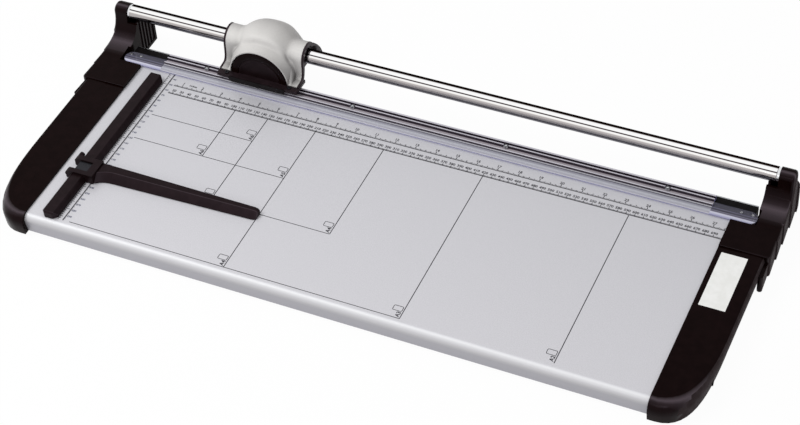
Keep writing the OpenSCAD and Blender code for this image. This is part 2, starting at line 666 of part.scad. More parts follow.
// The head in side view, t inside its outer face: the front edge, a hood that widens to a crease,
// a steep face up to the body, then over the top and down the rear. w = 0 at the ends of the
// head, where the body is a neck around the rail, and 1 at its crown; u is the distance from
// the middle of the head along the rail.
neck_r = rail_r + neck_over;
lap = 1.6;
arch_r = cover_r + cover_gap;
cover_front = bar_front - bar_ledge;
crease_y = 11.5 - cover_front;
function neck_body(t) = concat(arc([rail_y, rail_z + 1], neck_r - t, 175, 60, 8),
    bezier([[rail_y + neck_r * 0.65 - t * 0.5, rail_z + neck_r * 0.75 - t], [rail_y + neck_r + 6, rail_z + 2],
        [crown_rear - 6 - t, crown_z - 2], [crown_rear - 4 - t, bar_top]], 7));
function crown_body(t) = concat(arc([rail_y, crown_z], crown_r - t, 112, 40, 8),
    bezier([[rail_y + (crown_r - t) * cos(36), crown_z + (crown_r - t) * sin(36)],
        [crown_rear - 2 - t, crown_z + 12], [crown_rear - t, crown_z], [crown_rear - 3 - t, bar_top]], 7));
// How much of the crown stands at u; it runs out softly into the neck
crown_soft = 0.93;
crown_tail = 0.2;
function crown_full(k) = pow(1 - pow(k, 2.6), 0.74);
function crown_share(u) = let (k = abs(u) / crown_half) k < crown_soft ? crown_full(k) :
    crown_full(crown_soft) * pow(max(0, 1 - (k - crown_soft) / crown_tail), 2);
function mix(a, b, w) = [for (i = [0:len(a) - 1]) a[i] * (1 - w) + b[i] * w];
function half_chord(r, u) = sqrt(max(0, r * r - u * u));
function edge_at(u, t) = [-cover_front, bar_top + max(lap * (1 - t / shell_t),
    half_chord(arch_r + hood_edge * (1 - t / shell_t), u))];
function crease_at(u, t) = [crease_y + 0.3 * t, bar_top + pow(pow(half_chord(arch_r + hood_flare - t, u), 3)
    + pow(max(0.1, 3 - 0.9 * t), 3), 1 / 3)];
function head_line(u, t) = let (w = crown_share(u), e = edge_at(u, t), c = crease_at(u, t),
        body = mix(neck_body(t), crown_body(t), w), d = body[0] - c,
        out = (1 - w) * min(5.5, 0.4 * norm(d)) * [0.9, 0.45] + w * [2.4, 1.8],
        up = min(0.4 * norm(d), 10) * mix([0.087, 0.996], [0.927, 0.375], w))
    concat([for (i = [0:3]) bezier_at([e, e + [0.4 * (c.x - e.x), 0.2 * (c.y - e.y)],
            c - [0.33 * (c.x - e.x), 0.45 * (c.y - e.y)], c], i / 4)],
        [for (i = [0:4]) bezier_at([c, c + out, body[0] - up, body[0]], i / 5)], body);
function bezier_at(p, t) = let (u = 1 - t)
    u * u * u * p[0] + 3 * u * u * t * p[1] + 3 * u * t * t * p[2] + t * t * t * p[3];
function head_ring(u, t) = let (o = head_line(u, 0), k = head_line(u, t))
    [for (p = concat(o, [for (i = [len(k) - 1:-1:0]) k[i]])) [u, p.x, p.y]];
rim_t = 2.4;
shell_half = head_half - rim_t;
hood_r = arch_r + hood_flare;
half_stations = concat([for (i = [0:8]) arch_r * sin(i * 10)], [arch_r - 0.1, arch_r + 0.1],
    [for (i = [-0.1, 0.1]) arch_r + hood_edge + i],
    [for (i = [1:4]) arch_r + hood_edge + (hood_flare - hood_edge) * i / 4],
    [for (i = [0.2, 0.5, 1]) hood_r + (shell_half - hood_r) * i]);
head_stations = concat([for (i = [len(half_stations) - 1:-1:1]) -half_stations[i]], half_stations);
module head_shell() color("#b9b7b5") at_head() loft([for (u = head_stations) head_ring(u, shell_t)]);

// Black frame under the shell: front bar, and an arch at each end that edges the shell
frame_t = 2;
axle_gap = 0.5;
arch_w = 9;
module neck_2d(t) polygon(head_line(head_half, t));
module head_frame() color("#1c1819") at_head() difference() {
    union() {
        difference() {
            translate([-head_half, -bar_front, bar_under]) cube([head_len, bar_front - bar_rear, bar_h]);
            translate([-hub_d / 2 - 3, hub_front - 3, bar_under - eps])
                cube([hub_d + 6, bar_front, bar_h + 1]);
        }
        for (s = [-1, 1]) side(s) translate([head_half - arch_w, -bar_front, bar_under])
            cube([arch_w, bar_front + web_y, bar_h]);
        for (s = [-1, 1]) side(s) {
            along_x(head_half - arch_w, head_half - rim_t + eps) difference() {
                neck_2d(shell_t + 0.1);
                neck_2d(shell_t + 0.1 + frame_t);
            }
            along_x(head_half - rim_t, head_half) difference() {
                neck_2d(-0.3);
                neck_2d(shell_t + 0.1 + frame_t);
            }
            along_x(head_half - arch_w, head_half - arch_w + 2) difference() {
                neck_2d(shell_t + 0.1);
                translate([rail_y, rail_z]) circle(r = rail_r + bush_t + bush_fit + 0.3, $fn = fine);
                translate([-2 * neck_r, -bar_top]) square([6 * neck_r, 2 * bar_top + 6]);
            }
        }
    }
    head_screw_places() cylinder(h = 2 * bar_top, d = head_screw_d, $fn = fine);
    rod_y(axle_d + 6 + 2 * axle_gap, axle_head_y, web_y, blade_z);
}

bush_r = rail_r + bush_fit + bush_t;
carriage_foot = 3;
bar_rear = 1.5;
web_half = crown_half - 3;
web_foot_in = blade_d / 2 + 0.5;
bush_at = head_half - arch_w - bush_len / 2 - 1;
module head_carriage() color("#2b292a") at_head() difference() {
    union() {
        for (s = [-1, 1]) translate([s * bush_at - bush_len / 2, rail_y, rail_z]) rotate([0, 90, 0])
            cylinder(h = bush_len, r = bush_r + carriage_wall, $fn = fine);
        translate([-web_half, web_y, bar_top]) cube([2 * web_half, web_t, rail_z - bar_top]);
        for (s = [-1, 1]) side(s) translate([web_foot_in, -bar_rear - 4, bar_top])
            cube([web_half - web_foot_in, bar_rear + 4 + web_y + web_t, carriage_foot]);
        rod_y(axle_d + 8, web_y, web_y + web_t + 2, blade_z);
    }
    for (s = [-1, 1]) translate([s * bush_at - bush_len / 2 - 1, rail_y, rail_z]) rotate([0, 90, 0])
        cylinder(h = bush_len + 2, r = bush_r, $fn = fine);
    translate([-bush_at + bush_len / 2, rail_y, rail_z]) rotate([0, 90, 0])
        cylinder(h = 2 * bush_at - bush_len, r = rail_r + 1, $fn = fine);
    rod_y(axle_d, -bar_front, rail_y, blade_z);
}
module rail_bushes() color("#e7e4da") at_head() for (s = [-1, 1])
    translate([s * bush_at - bush_len / 2, rail_y, rail_z]) rotate([0, 90, 0]) difference() {
        cylinder(h = bush_len, r = bush_r, $fn = fine);
        translate([0, 0, -1]) cylinder(h = bush_len + 2, r = rail_r + bush_fit, $fn = fine);
    }

// Half round cover in front of the blade, closed towards the user and open below
cover_back = 2.5;
module upper_half(r, z) translate([-2 * r, -2 * r, z]) cube(4 * r);
module blade_cover() color("#1a1516") at_head() intersection() {
    difference() {
        rod_y(2 * cover_r, -cover_front, -cover_back, bar_top);
        rod_y(2 * (cover_r - cover_t), -cover_front + cover_t, eps, bar_top);
        rod_y(2 * ring_r, -cover_front - 1, -cover_front + 1.2, bar_top);
    }
    upper_half(cover_r, bar_top);
}
module cover_disc() color("#231d1e") at_head() intersection() {
    difference() {
        rod_y(2 * ring_r - 0.4, -cover_front + 0.4, -cover_front + 1.2, bar_top);
        rod_y(2 * ring_r - 5, -cover_front - 1, -cover_front + 0.8, bar_top);
    }
    upper_half(ring_r, bar_top + 0.2);
}

// Axle bolt from the cover through the blade into the carriage web
axle_head_y = -cover_front + cover_t;
module blade_axle() color("#8e9094") at_head() {
    rod_y(axle_d, axle_head_y + 2, web_y + web_t + 5.5, blade_z);
    rod_y(axle_d + 4, axle_head_y + 0.2, axle_head_y + 2, blade_z);
}
module axle_nut() color("#8e9094") at_head() translate([0, web_y + web_t + 2, blade_z]) rotate([-90, 0, 0])
    difference() {
        cylinder(h = 3.2, d = axle_d + 5, $fn = 6);
        translate([0, 0, -eps]) cylinder(h = 4, d = axle_d, $fn = fine);
    }
washer_t = 0.8;
module washer(y) difference() {
    rod_y(axle_d + 6, y, y + washer_t, blade_z);
    rod_y(axle_d, y - 1, y + 2, blade_z);
}
hub_front = blade_gap - 4;
hub_back = web_y - washer_t - 0.3;
module blade_washers() color("#b5b7ba") at_head() {
    washer(web_y - washer_t);
    washer(hub_front - washer_t - 0.3);
    difference() {
        rod_y(axle_d + 2.4, axle_head_y + 2, hub_front - washer_t - 0.3, blade_z);
        rod_y(axle_d, axle_head_y, hub_front, blade_z);
    }
}
module rotary_blade() color("#c4c6c8") at_head() difference() {
    union() {
        rod_y(blade_d - 2 * blade_bevel, blade_gap, blade_gap + blade_t, blade_z);
        translate([0, blade_gap, blade_z]) rotate([-90, 0, 0])
            cylinder(h = blade_t, d1 = blade_d, d2 = blade_d - 2 * blade_bevel, $fn = 96);
    }
    rod_y(axle_d + 5, -1, 3, blade_z);
}
module blade_hub() color("#e0ddd2") at_head() difference() {
    union() {
        rod_y(axle_d + 5, hub_front, hub_back, blade_z);
        rod_y(hub_d, hub_front, blade_gap, blade_z);
        rod_y(hub_d - 2, blade_gap + blade_t, hub_back, blade_z);
    }
    rod_y(axle_d + 2 * axle_fit, -20, 20, blade_z);
}

// Screws in the ledge of the front bar, and the sliding shoe below it with a lip that hangs in
// front of the bar, over the flat part of the clamp strip
head_screw_d = 2.5;
module head_screw_places() for (s = [-1, 1])
    translate([s * (head_half - 11.5), -bar_front + 4, 0]) children();
module head_screws() color("#6d6e71") at_head() head_screw_places() {
    translate([0, 0, bar_under + 0.4]) cylinder(h = bar_h, d = head_screw_d, $fn = fine);
    translate([0, 0, bar_top]) difference() {
        cylinder(h = 1.3, d = 2 * head_screw_d, $fn = fine);
        translate([0, 0, 0.6]) cylinder(h = 1, d = head_screw_d, $fn = 6);
    }
}
shoe_half = head_half - 16;
shoe_t = 1.4;
shoe_w = 9;
shoe_lip = 1.5;
shoe_low = strip_lift + (strip_ridge + 0.8 > bar_front ? strip_top + 0.3 : strip_level + 1.1);
module strip_shoe() color("#141112") at_head() translate([-shoe_half, -bar_front - shoe_lip, 0]) {
    translate([0, 0, bar_under - shoe_t]) cube([2 * shoe_half, shoe_w + shoe_lip, shoe_t]);
    translate([0, 0, shoe_low]) cube([2 * shoe_half, shoe_lip, bar_top - 1 - shoe_low]);
}

// Paper stop: arm, and a yoke that straddles the guide bar with two bands hooked over it

band_front = 6;
band_rear = 7;
hook = 5;
knob_r = 3.2;
knob_rear = 8;
knob_front = 3;
yoke_wide = 10;
yoke_top = guide_h + stop_gap + yoke_t;
// One band over the bar that hooks down its left side, d deep and with its rear face at y
module band(y, d) difference() {
    translate([0, y, 0]) rotate([90, 0, 0]) linear_extrude(d)
        polygon([[-guide_w - hook, stop_gap + 1], [-guide_w - hook, guide_h],
            [-guide_w + guide_bevel - 3, yoke_top], [yoke_wide, yoke_top], [yoke_wide, stop_gap],
            [-guide_w - hook + 1, stop_gap]]);
    bar_space();
}
module bar_space() translate([0, 2 * yoke_len, 0]) rotate([90, 0, 0]) linear_extrude(4 * yoke_len)
    polygon(concat(guide_section(stop_gap), [[stop_gap, -1], [-guide_w + guide_bevel - stop_gap, -1]]));
module thumb_lobe(y, d) translate([-guide_w - knob_r - stop_gap, y, guide_h * 0.6]) rotate([90, 0, 0])
    cylinder(h = d, r = knob_r, $fn = fine);
// Sections of the arm from the yoke to the tip, drawn in by i where the tip rounds off
stop_root_x = 30;
arm_slope = 8;
function arm_size(x) = let (k = (x - stop_root_x) / (stop_len - stop_root_x), b = pow(max(0, -k) / 0.13, 2))
    [stop_root + (stop_tip - stop_root) * max(0, k) + 9 * min(1, b), stop_h - 2 * max(0, k)];
function arm_section(x, i) = let (s = arm_size(x), f = min(arm_slope, s.x / 2) - s.x, r = -0.6 * i)
    [[x, -s.x + i, stop_gap], [x, -s.x + i, stop_gap + 1], [x, f, s.y - 0.6 - i], [x, f + 1, s.y - i],
    [x, r - 1.2, s.y - i], [x, r, s.y - 1.5 - i], [x, r, stop_gap + 1], [x, r - 0.6, stop_gap]];
arm_stations = concat([for (x = [yoke_wide:4:stop_root_x]) [x, 0]],
    [[stop_len - 6, 0], [stop_len - 3, 0.4], [stop_len - 1, 1.4], [stop_len, 3]]);
module paper_stop() color("#1a1516") at_table() translate([-paper_edge, -stop_face, 0])
    loft([for (a = arm_stations) arm_section(a[0], a[1])]);
module stop_yoke() color("#1a1516") at_table() translate([-paper_edge, -stop_face, 0]) {
    translate([stop_gap, -yoke_len, stop_gap]) cube([yoke_wide - stop_gap, yoke_len, yoke_top - stop_gap]);
    band(0, band_rear);
    band(band_front - yoke_len, band_front);
    thumb_lobe(knob_rear, knob_rear + knob_front);
    thumb_lobe(band_front - yoke_len + knob_front, band_front + knob_front - 1);
}
// Leaf spring between the bands that presses on the bar
spring_t = 0.8;
module stop_spring() color("#2c2a2b") at_table() translate([-paper_edge, -stop_face, 0]) {
    w = yoke_len - band_front - band_rear;
    translate([-guide_w + guide_bevel, -band_rear - w, guide_h + stop_gap])
        cube([guide_w - guide_bevel + stop_gap, w, spring_t]);
}

// Plain pale panel on the right cap
panel_inset = 6;
note_rear = bracket_front + 8;
note_len = 82;
note_w = 29.5;
note_t = 0.4;
module note_panel() color("#f2f2f0") at_table()
    translate([cap_inner + panel_inset, -note_rear - note_len, cap_rise])
        cube([note_w, note_len, note_t]);

table_top();
core_board();
knife_beam();
lower_blade();
lower_blade_screws();
left_end_cap();
right_end_cap();
left_rail_bracket();
right_rail_bracket();
left_rib_panel();
right_rib_panel();
guide_rail();
rail_collars();
rail_set_screws();
cap_screws();
rubber_feet();
note_panel();
side_guide_bar();
guide_bar_screws();
strip_screws();
strip_end_pins();
head_shell();
head_frame();
head_carriage();
rail_bushes();
blade_cover();
cover_disc();
blade_axle();
axle_nut();
blade_washers();
head_screws();
strip_shoe();
rotary_blade();
blade_hub();
paper_stop();
stop_yoke();
stop_spring();
clamp_strip();
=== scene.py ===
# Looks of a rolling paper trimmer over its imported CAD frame.
# Lengths are millimetres on the machine: x from its middle, y from the cut line with the user on
# the minus side, z from the paper surface. at() turns them into the frame's metres.
import math

import bmesh
import bpy
from mathutils import Matrix, Vector


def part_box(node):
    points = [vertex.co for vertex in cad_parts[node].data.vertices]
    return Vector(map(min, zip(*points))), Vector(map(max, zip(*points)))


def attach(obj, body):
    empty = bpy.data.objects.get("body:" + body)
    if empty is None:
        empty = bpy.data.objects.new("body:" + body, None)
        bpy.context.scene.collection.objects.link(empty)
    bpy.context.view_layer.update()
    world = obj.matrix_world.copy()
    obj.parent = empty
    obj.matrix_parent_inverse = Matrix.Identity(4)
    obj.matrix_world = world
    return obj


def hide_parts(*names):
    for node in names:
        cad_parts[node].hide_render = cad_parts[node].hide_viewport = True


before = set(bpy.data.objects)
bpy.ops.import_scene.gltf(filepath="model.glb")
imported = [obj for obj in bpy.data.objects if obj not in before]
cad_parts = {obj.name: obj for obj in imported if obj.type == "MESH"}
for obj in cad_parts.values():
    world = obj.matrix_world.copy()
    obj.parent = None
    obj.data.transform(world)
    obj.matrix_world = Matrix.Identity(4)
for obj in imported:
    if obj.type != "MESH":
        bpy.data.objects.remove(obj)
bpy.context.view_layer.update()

MM = 0.001
CUT_Y, BOARD_Z = 128.35, 28.0  # the cut line and the paper surface in the frame
PAPER_EDGE = 331.0             # paper is laid against an edge this far left of the middle
HEAD_X = -218.1                # middle of the cutting head at rest
RAIL_Y, RAIL_Z = 18.5, 36.5    # the rail's axis
INCH = 25.4


def at(x, y, z):
    """A point of the machine, in the frame."""
    return Vector((x, y + CUT_Y, z + BOARD_Z)) * MM


# ---- finishes ----

def paint(code):
    """An sRGB hex colour as the linear colour that a shader takes."""
    channels = [int(code[i:i + 2], 16) / 255 for i in (1, 3, 5)]
    return [c / 12.92 if c <= 0.04045 else ((c + 0.055) / 1.055) ** 2.4 for c in channels] + [1.0]


def add(tree, kind, inputs=None, **settings):
    """Adds a node with its settings; an input that is given a socket is linked to it."""
    made = tree.nodes.new(kind)
    for name, value in settings.items():
        setattr(made, name, value)
    for name, value in (inputs or {}).items():
        socket = made.inputs[name]
        if isinstance(value, bpy.types.NodeSocket):
            tree.links.new(value, socket)
        else:
            socket.default_value = value
    return made


def socket_name(word):
    return word.replace("_", " ").title().replace("Ior", "IOR")


def start_finish(name, **shader):
    """A new material with its node tree, its shader and the object coordinates of its surface."""
    made = bpy.data.materials.new(name)
    made.use_nodes = True
    tree = made.node_tree
    tree.nodes.clear()
    values = {socket_name(word): value for word, value in shader.items()}
    surface = add(tree, "ShaderNodeBsdfPrincipled", values)
    add(tree, "ShaderNodeOutputMaterial", {"Surface": surface.outputs["BSDF"]})
    return made, tree, surface, add(tree, "ShaderNodeTexCoord").outputs["Object"]


def feed(tree, surface, **sources):
    """Links node outputs to the shader's sockets."""
    for word, source in sources.items():
        tree.links.new(source, surface.inputs[socket_name(word)])


def facing(tree):
    """The way that the surface looks, in the object's own axes."""
    return add(tree, "ShaderNodeTexCoord").outputs["Normal"]


def split(tree, vector):
    return add(tree, "ShaderNodeSeparateXYZ", {"Vector": vector}).outputs


def math_node(tree, operation, *values, **settings):
    inputs = dict(enumerate(values))
    return add(tree, "ShaderNodeMath", inputs, operation=operation, **settings).outputs[0]


def machine_mm(tree, metres, zero_mm):
    """A frame coordinate in millimetres from the machine's own zero."""
    return math_node(tree, "MULTIPLY_ADD", metres, 1 / MM, -zero_mm)


def share_between(tree, value, low, high):
    """How far a value is on its way from low to high, from 0 to 1."""
    limits = {"Value": value, "From Min": low, "From Max": high}
    return add(tree, "ShaderNodeMapRange", limits).outputs["Result"]


def spread(tree, value, low, high):
    """Maps a 0 to 1 value to a range of numbers."""
    limits = {"Value": value, "To Min": low, "To Max": high}
    return add(tree, "ShaderNodeMapRange", limits).outputs["Result"]


def blend(tree, share, low, high):
    inputs = {"Factor": share, "A": low, "B": high}
    return add(tree, "ShaderNodeMix", inputs, data_type="RGBA").outputs["Result"]


def ramp(tree, value, stops):
    """Colours a 0 to 1 value by a list of (place, linear colour)."""
    made = add(tree, "ShaderNodeValToRGB", {"Fac": value})
    elements = made.color_ramp.elements
    while len(elements) < len(stops):
        elements.new(0.5)
    for element, (where, colour) in zip(elements, stops):
        element.position = where
        element.color = colour
    return made.outputs["Color"]


NOISE_LOW, NOISE_HIGH = 0.35, 0.65  # nearly all of a noise's values lie between these


def two_tone(tree, noise, low, high):
    """Blends two hex colours by a noise."""
    return ramp(tree, noise, [(NOISE_LOW, paint(low)), (NOISE_HIGH, paint(high))])


def banded(tree, value, bands):
    """Colours a value by a rising list of (value, hex colour)."""
    low, high = bands[0][0], bands[-1][0]
    stops = [((where - low) / (high - low), paint(code)) for where, code in bands]
    return ramp(tree, share_between(tree, value, low, high), stops)


def speckle(tree, place, size_mm, detail=2.0, stretch=None):
    """Noise with features of about size_mm; a stretch factor under 1 draws them out on its axis."""
    if stretch:
        mapping = {"Vector": place, "Scale": stretch}
        place = add(tree, "ShaderNodeMapping", mapping).outputs["Vector"]
    inputs = {"Vector": place, "Scale": 1.0 / (size_mm * MM), "Detail": detail}
    return add(tree, "ShaderNodeTexNoise", inputs).outputs["Fac"]


def relief(tree, height, surface, depth_mm):
    inputs = {"Height": height, "Distance": depth_mm * MM}
    feed(tree, surface, normal=add(tree, "ShaderNodeBump", inputs).outputs["Normal"])


ALONG_X, ALONG_Y, ALONG_Z = (0.03, 1, 1), (1, 0.2, 1), (1, 1, 0.2)  # for speckle's stretch
PLAIN_IOR, ABS_IOR, ACRYLIC_IOR = 1.5, 1.54, 1.49

# Share of a black moulding's painted highlight, by how far its face leans towards the user: a
# raised gloss paints highlights on faces that lean partly towards the user, and flat faces keep a
# low gloss over their fine texture
LEAN_PAINTED_HIGHLIGHT = [(0.0, 0.0), (0.06, 0.0), (0.2, 0.55), (0.34, 1.0), (0.52, 0.3), (0.75, 0.06),
              (1.0, 0.04)]
# Tint of the painted highlight
HIGHLIGHT_TINT = "#f4dff0"


def bend_gloss(tree, surface, flat, highlight_gloss):
    """Sets the gloss of flat faces, and a raised gloss that paints a highlight on faces that lean
    partly towards the user.
    """
    lean = math_node(tree, "MULTIPLY", split(tree, facing(tree))["Y"], -1.0, use_clamp=True)
    share = ramp(tree, lean, [(where, (part, part, part, 1)) for where, part in LEAN_PAINTED_HIGHLIGHT])
    feed(tree, surface, specular_ior_level=spread(tree, share, flat, highlight_gloss))


TONE_MM, GLOSS_MM = 9.0, 3.0  # size of a moulding's changes in tone and in roughness


def moulded(name, low, high, roughness, swing, texture_mm, depth_mm, ior, gloss=0.5, highlight_gloss=0.0):
    """Injection moulded plastic, even in colour, with a fine spark eroded texture.

    Its roughness changes by swing; where given, a raised gloss paints highlights on faces that lean
    partly towards the user."""
    tint = paint(HIGHLIGHT_TINT if highlight_gloss else "#ffffff")
    made, tree, surface, place = start_finish(name, ior=ior, specular_ior_level=gloss,
                                              specular_tint=tint)
    if highlight_gloss:
        bend_gloss(tree, surface, gloss, highlight_gloss)
    patches = speckle(tree, place, GLOSS_MM)
    feed(tree, surface, base_color=two_tone(tree, speckle(tree, place, TONE_MM, 3.0), low, high),
         roughness=spread(tree, patches, roughness - swing, roughness + swing))
    relief(tree, speckle(tree, place, texture_mm), surface, depth_mm)
    return made


GRIND_MM, GRIND_DEPTH = 0.35, 0.01


def ground_metal(name, low, high, roughness, along):
    """Ground or drawn steel: fine lines along the way that it was worked."""
    made, tree, surface, place = start_finish(name, metallic=1.0)
    lines = speckle(tree, place, GRIND_MM, 2.0, along)
    feed(tree, surface, base_color=two_tone(tree, lines, low, high),
         roughness=spread(tree, lines, roughness * 0.8, roughness * 1.25))
    relief(tree, lines, surface, GRIND_DEPTH)
    return made


# Painted light down the sheet's rounded front fold, by millimetres from the paper surface: a
# painted highlight just below the paper surface, and painted shade darkening down the front
FOLD_PAINTED_LIGHT = [(-28, "#a6a5ad"), (-11, "#aaa9af"), (-7.5, "#b6b5b9"), (-5.5, "#c1c0c3"),
              (-3.6, "#cac9cd"), (-2.2, "#d8d8db"), (-1.5, "#e3e3e6"), (-0.9, "#ececef"),
              (-0.5, "#e6e6ea"), (-0.2, "#dddde1")]
FOLD_END, FLAT_START = -0.35, -0.05  # heights between which the fold's colours give way
# The flat carries painted light between these: lighter towards the front edge, darker towards the
# rear
SHEET_NEAR, SHEET_FAR = -300, -30    # the flat's tone changes between these


def coated_sheet():
    """Aluminium with a satin silver grey coat: the flake is drawn at 0.9 mm so that it shows."""
    made, tree, surface, place = start_finish("satin_coated_aluminium", metallic=0.25,
                                              ior=PLAIN_IOR)
    flake = speckle(tree, place, 0.9, 3.0)
    axes = split(tree, place)
    # Painted light: the flat is lighter towards the front and darker towards the rear
    depth = share_between(tree, axes["Y"], at(0, SHEET_NEAR, 0).y, at(0, SHEET_FAR, 0).y)
    flat = blend(tree, depth, two_tone(tree, flake, "#cac9ce", "#d7d6db"),
                 two_tone(tree, flake, "#c3c3c8", "#cfced3"))
    # The front fold's colours are a painted highlight and painted shade, giving way to the flat's
    # tone at the top
    rise = share_between(tree, axes["Z"], at(0, 0, FOLD_END).z, at(0, 0, FLAT_START).z)
    fold = banded(tree, machine_mm(tree, axes["Z"], BOARD_Z), FOLD_PAINTED_LIGHT)
    feed(tree, surface, base_color=blend(tree, rise, fold, flat),
         roughness=spread(tree, flake, 0.34, 0.46))
    relief(tree, flake, surface, 0.006)
    return made


# Painted shade darkens the shell's creases, and painted light lightens it where it looks one way
CREASE_SHADE_MM, CREASE_SHADE_OPEN = 14, (0.45, 1.0)  # reach of a crease, and its openness: dark to plain
PAINTED_LIGHT_WAY = (-0.3, -0.72, 0.62)          # the shell is lightest where it looks this way
PAINTED_LIGHT_FROM_TO = (0.25, 0.98)


def silver_shell_paint():
    """ABS with a satin metallic paint, its flake drawn at 0.6 mm: warm grey, with a soft sheen.

    Painted light makes it lighter where it looks up and to the user, and painted shade makes it
    darker in its creases."""
    made, tree, surface, place = start_finish("satin_silver_paint", metallic=0.2, ior=PLAIN_IOR)
    flake = speckle(tree, place, 0.6, 3.0)
    painted_crease_shade = add(tree, "ShaderNodeAmbientOcclusion", {"Distance": CREASE_SHADE_MM * MM}, samples=8)
    openness = share_between(tree, painted_crease_shade.outputs["AO"], *CREASE_SHADE_OPEN)
    towards = add(tree, "ShaderNodeVectorMath", {0: facing(tree), 1: PAINTED_LIGHT_WAY},
                  operation="DOT_PRODUCT").outputs["Value"]
    # Lit and shaded copies of the paint, blended by the way the face looks: painted light
    tone = blend(tree, share_between(tree, towards, *PAINTED_LIGHT_FROM_TO),
                 two_tone(tree, flake, "#a3a09f", "#b1afad"),
                 two_tone(tree, flake, "#d3d1cf", "#e0dedb"))
    # Painted shade: the creases are blended towards a dark grey
    feed(tree, surface, base_color=blend(tree, openness, paint("#5e5b5b"), tone),
         roughness=spread(tree, flake, 0.48, 0.58))
    relief(tree, flake, surface, 0.005)
    return made


# Painted reflections of a studio round a polished rail: degrees from straight up, towards the user,
# and a colour
RAIL_PAINTED_REFLECTIONS = [(-180, "#8d8d90"), (-140, "#c9cacc"), (-100, "#f2f2f2"), (-62, "#8a8a8c"),
              (-46, "#3a3230"), (2, "#2b2322"), (6, "#f4f4f4"), (31, "#ffffff"), (34, "#453b3c"),
              (41, "#453b3c"), (44, "#ffffff"), (54, "#f4f2ee"), (61, "#b4aeae"), (86, "#aeaaa8"),
              (91, "#8f8e93"), (125, "#8f8e93"), (140, "#5c5a5c"), (180, "#8d8d90")]


def polished_rail():
    """Hard chromed steel tube: mirror bright, with painted reflections of a studio drawn out along
    it.
    """
    made, tree, surface, place = start_finish("hard_chrome", metallic=1.0)
    centred = add(tree, "ShaderNodeVectorMath", {0: place, 1: at(0, RAIL_Y, RAIL_Z)},
                  operation="SUBTRACT").outputs["Vector"]
    axes = split(tree, centred)
    front = math_node(tree, "MULTIPLY", axes["Y"], -1.0)
    turn = math_node(tree, "ARCTAN2", front, axes["Z"])
    # The painted reflections go into both the base colour and the specular tint
    bands = banded(tree, math_node(tree, "MULTIPLY", turn, 180 / math.pi), RAIL_PAINTED_REFLECTIONS)
    draw = speckle(tree, place, 4.0, 1.0, ALONG_X)
    feed(tree, surface, base_color=bands, specular_tint=bands,
         roughness=spread(tree, draw, 0.09, 0.12))
    return made


# Painted light in the clear strip, as stripes by millimetres from the cut line: painted reflections
# and painted shade, with the black beam below painted in, on its front part over the board, on the
# low tabs at its ends, and between its ribs over the black beam
LIP_PAINTED_LIGHT = [(-33.2, "#e4e5ec"), (-32.4, "#d6d5de"), (-30.8, "#a9a6b3"), (-29.2, "#bdbdc9"),
             (-27.6, "#cfd2da"), (-26.0, "#adadb8"), (-24.6, "#918f9f"), (-23.8, "#8a8798"),
             (-23.4, "#2e2c3a"), (-22.5, "#2e2c3a"), (-22.1, "#dcdbe3"), (-20.5, "#dcdbe3")]
TAB_PAINTED_LIGHT = [(-33.4, "#c6c6ea"), (-32.2, "#a09fc6"), (-30.4, "#d2d2e8"), (-28.4, "#d8d8ea"),
             (-27.7, "#6a6678"), (-26.6, "#2e2832"), (-25.6, "#7c7990"), (-24.9, "#1a141a"),
             (-22.8, "#140e12"), (-21.9, "#66637e"), (-21.1, "#191318"), (-18.0, "#120c10")]
VALLEY_PAINTED_LIGHT = [(-19.3, "#b5b2ba"), (-17.0, "#b7b3bb"), (-15.0, "#bdb6bc"), (-13.6, "#a79ea6"),
                (-13.2, "#322733"), (-12.4, "#3d3541"), (-9.0, "#3a323b"), (-7.0, "#38303a")]
PLAIN_OVER_PAINTED_LIGHT = 0.2  # share of a part's plain tone that is laid over its stripes


def clear_acrylic(name, low, high, alpha, bands=None):
    """Extruded acrylic: glossy and drawn along its length; its given tones and stripes carry
    painted light, such as a violet glow where light leaves an edge.
    """
    made, tree, surface, place = start_finish(name, ior=ACRYLIC_IOR, alpha=alpha)
    draw = speckle(tree, place, 0.8, 2.0, ALONG_X)
    tone = two_tone(tree, draw, low, high)
    if bands:
        # Stripes of painted reflections and painted shade across the strip
        across = machine_mm(tree, split(tree, place)["Y"], CUT_Y)
        tone = blend(tree, PLAIN_OVER_PAINTED_LIGHT, banded(tree, across, bands), tone)
    feed(tree, surface, base_color=tone, roughness=spread(tree, draw, 0.03, 0.1))
    return made


def pressed_board():
    """Hardboard core: brown fibre with light and dark flecks about a millimetre long."""
    made, tree, surface, place = start_finish("pressed_board", roughness=0.85)
    fleck = speckle(tree, place, 1.2, 6.0, (0.5, 0.5, 1.6))
    feed(tree, surface, base_color=two_tone(tree, fleck, "#6d5136", "#9b7c56"))
    relief(tree, fleck, surface, 0.12)
    return made


# Moulded finishes: two tones, roughness and its swing, the texture's size and depth, refraction
# Where given, the last number is a raised gloss that paints highlights on faces that lean towards
# the user
abs_black = moulded("gloss_black_abs", "#0d0403", "#120706", 0.22, 0.05, 0.7, 0.004, ABS_IOR,
                    gloss=0.03, highlight_gloss=0.85)
abs_satin = moulded("satin_black_abs", "#140b0c", "#1b1113", 0.34, 0.05, 0.7, 0.01, ABS_IOR,
                    gloss=0.08, highlight_gloss=0.6)
abs_frame = moulded("satin_black_frame_abs", "#1a1214", "#23191c", 0.42, 0.05, 0.7, 0.01, ABS_IOR,
                    gloss=0.2, highlight_gloss=0.4)
abs_grip = moulded("textured_black_abs", "#2b2223", "#383032", 0.6, 0.05, 1.3, 0.06, ABS_IOR,
                   gloss=0.03)
nylon_dark = moulded("dark_nylon", "#151213", "#1d1a1b", 0.5, 0.06, 0.8, 0.02, 1.53, gloss=0.08)
acetal = moulded("natural_acetal", "#dad6ca", "#e8e4d8", 0.38, 0.05, 0.9, 0.01, 1.48)
rubber = moulded("foot_rubber", "#1c1b1c", "#262526", 0.75, 0.05, 0.6, 0.05, 1.52)
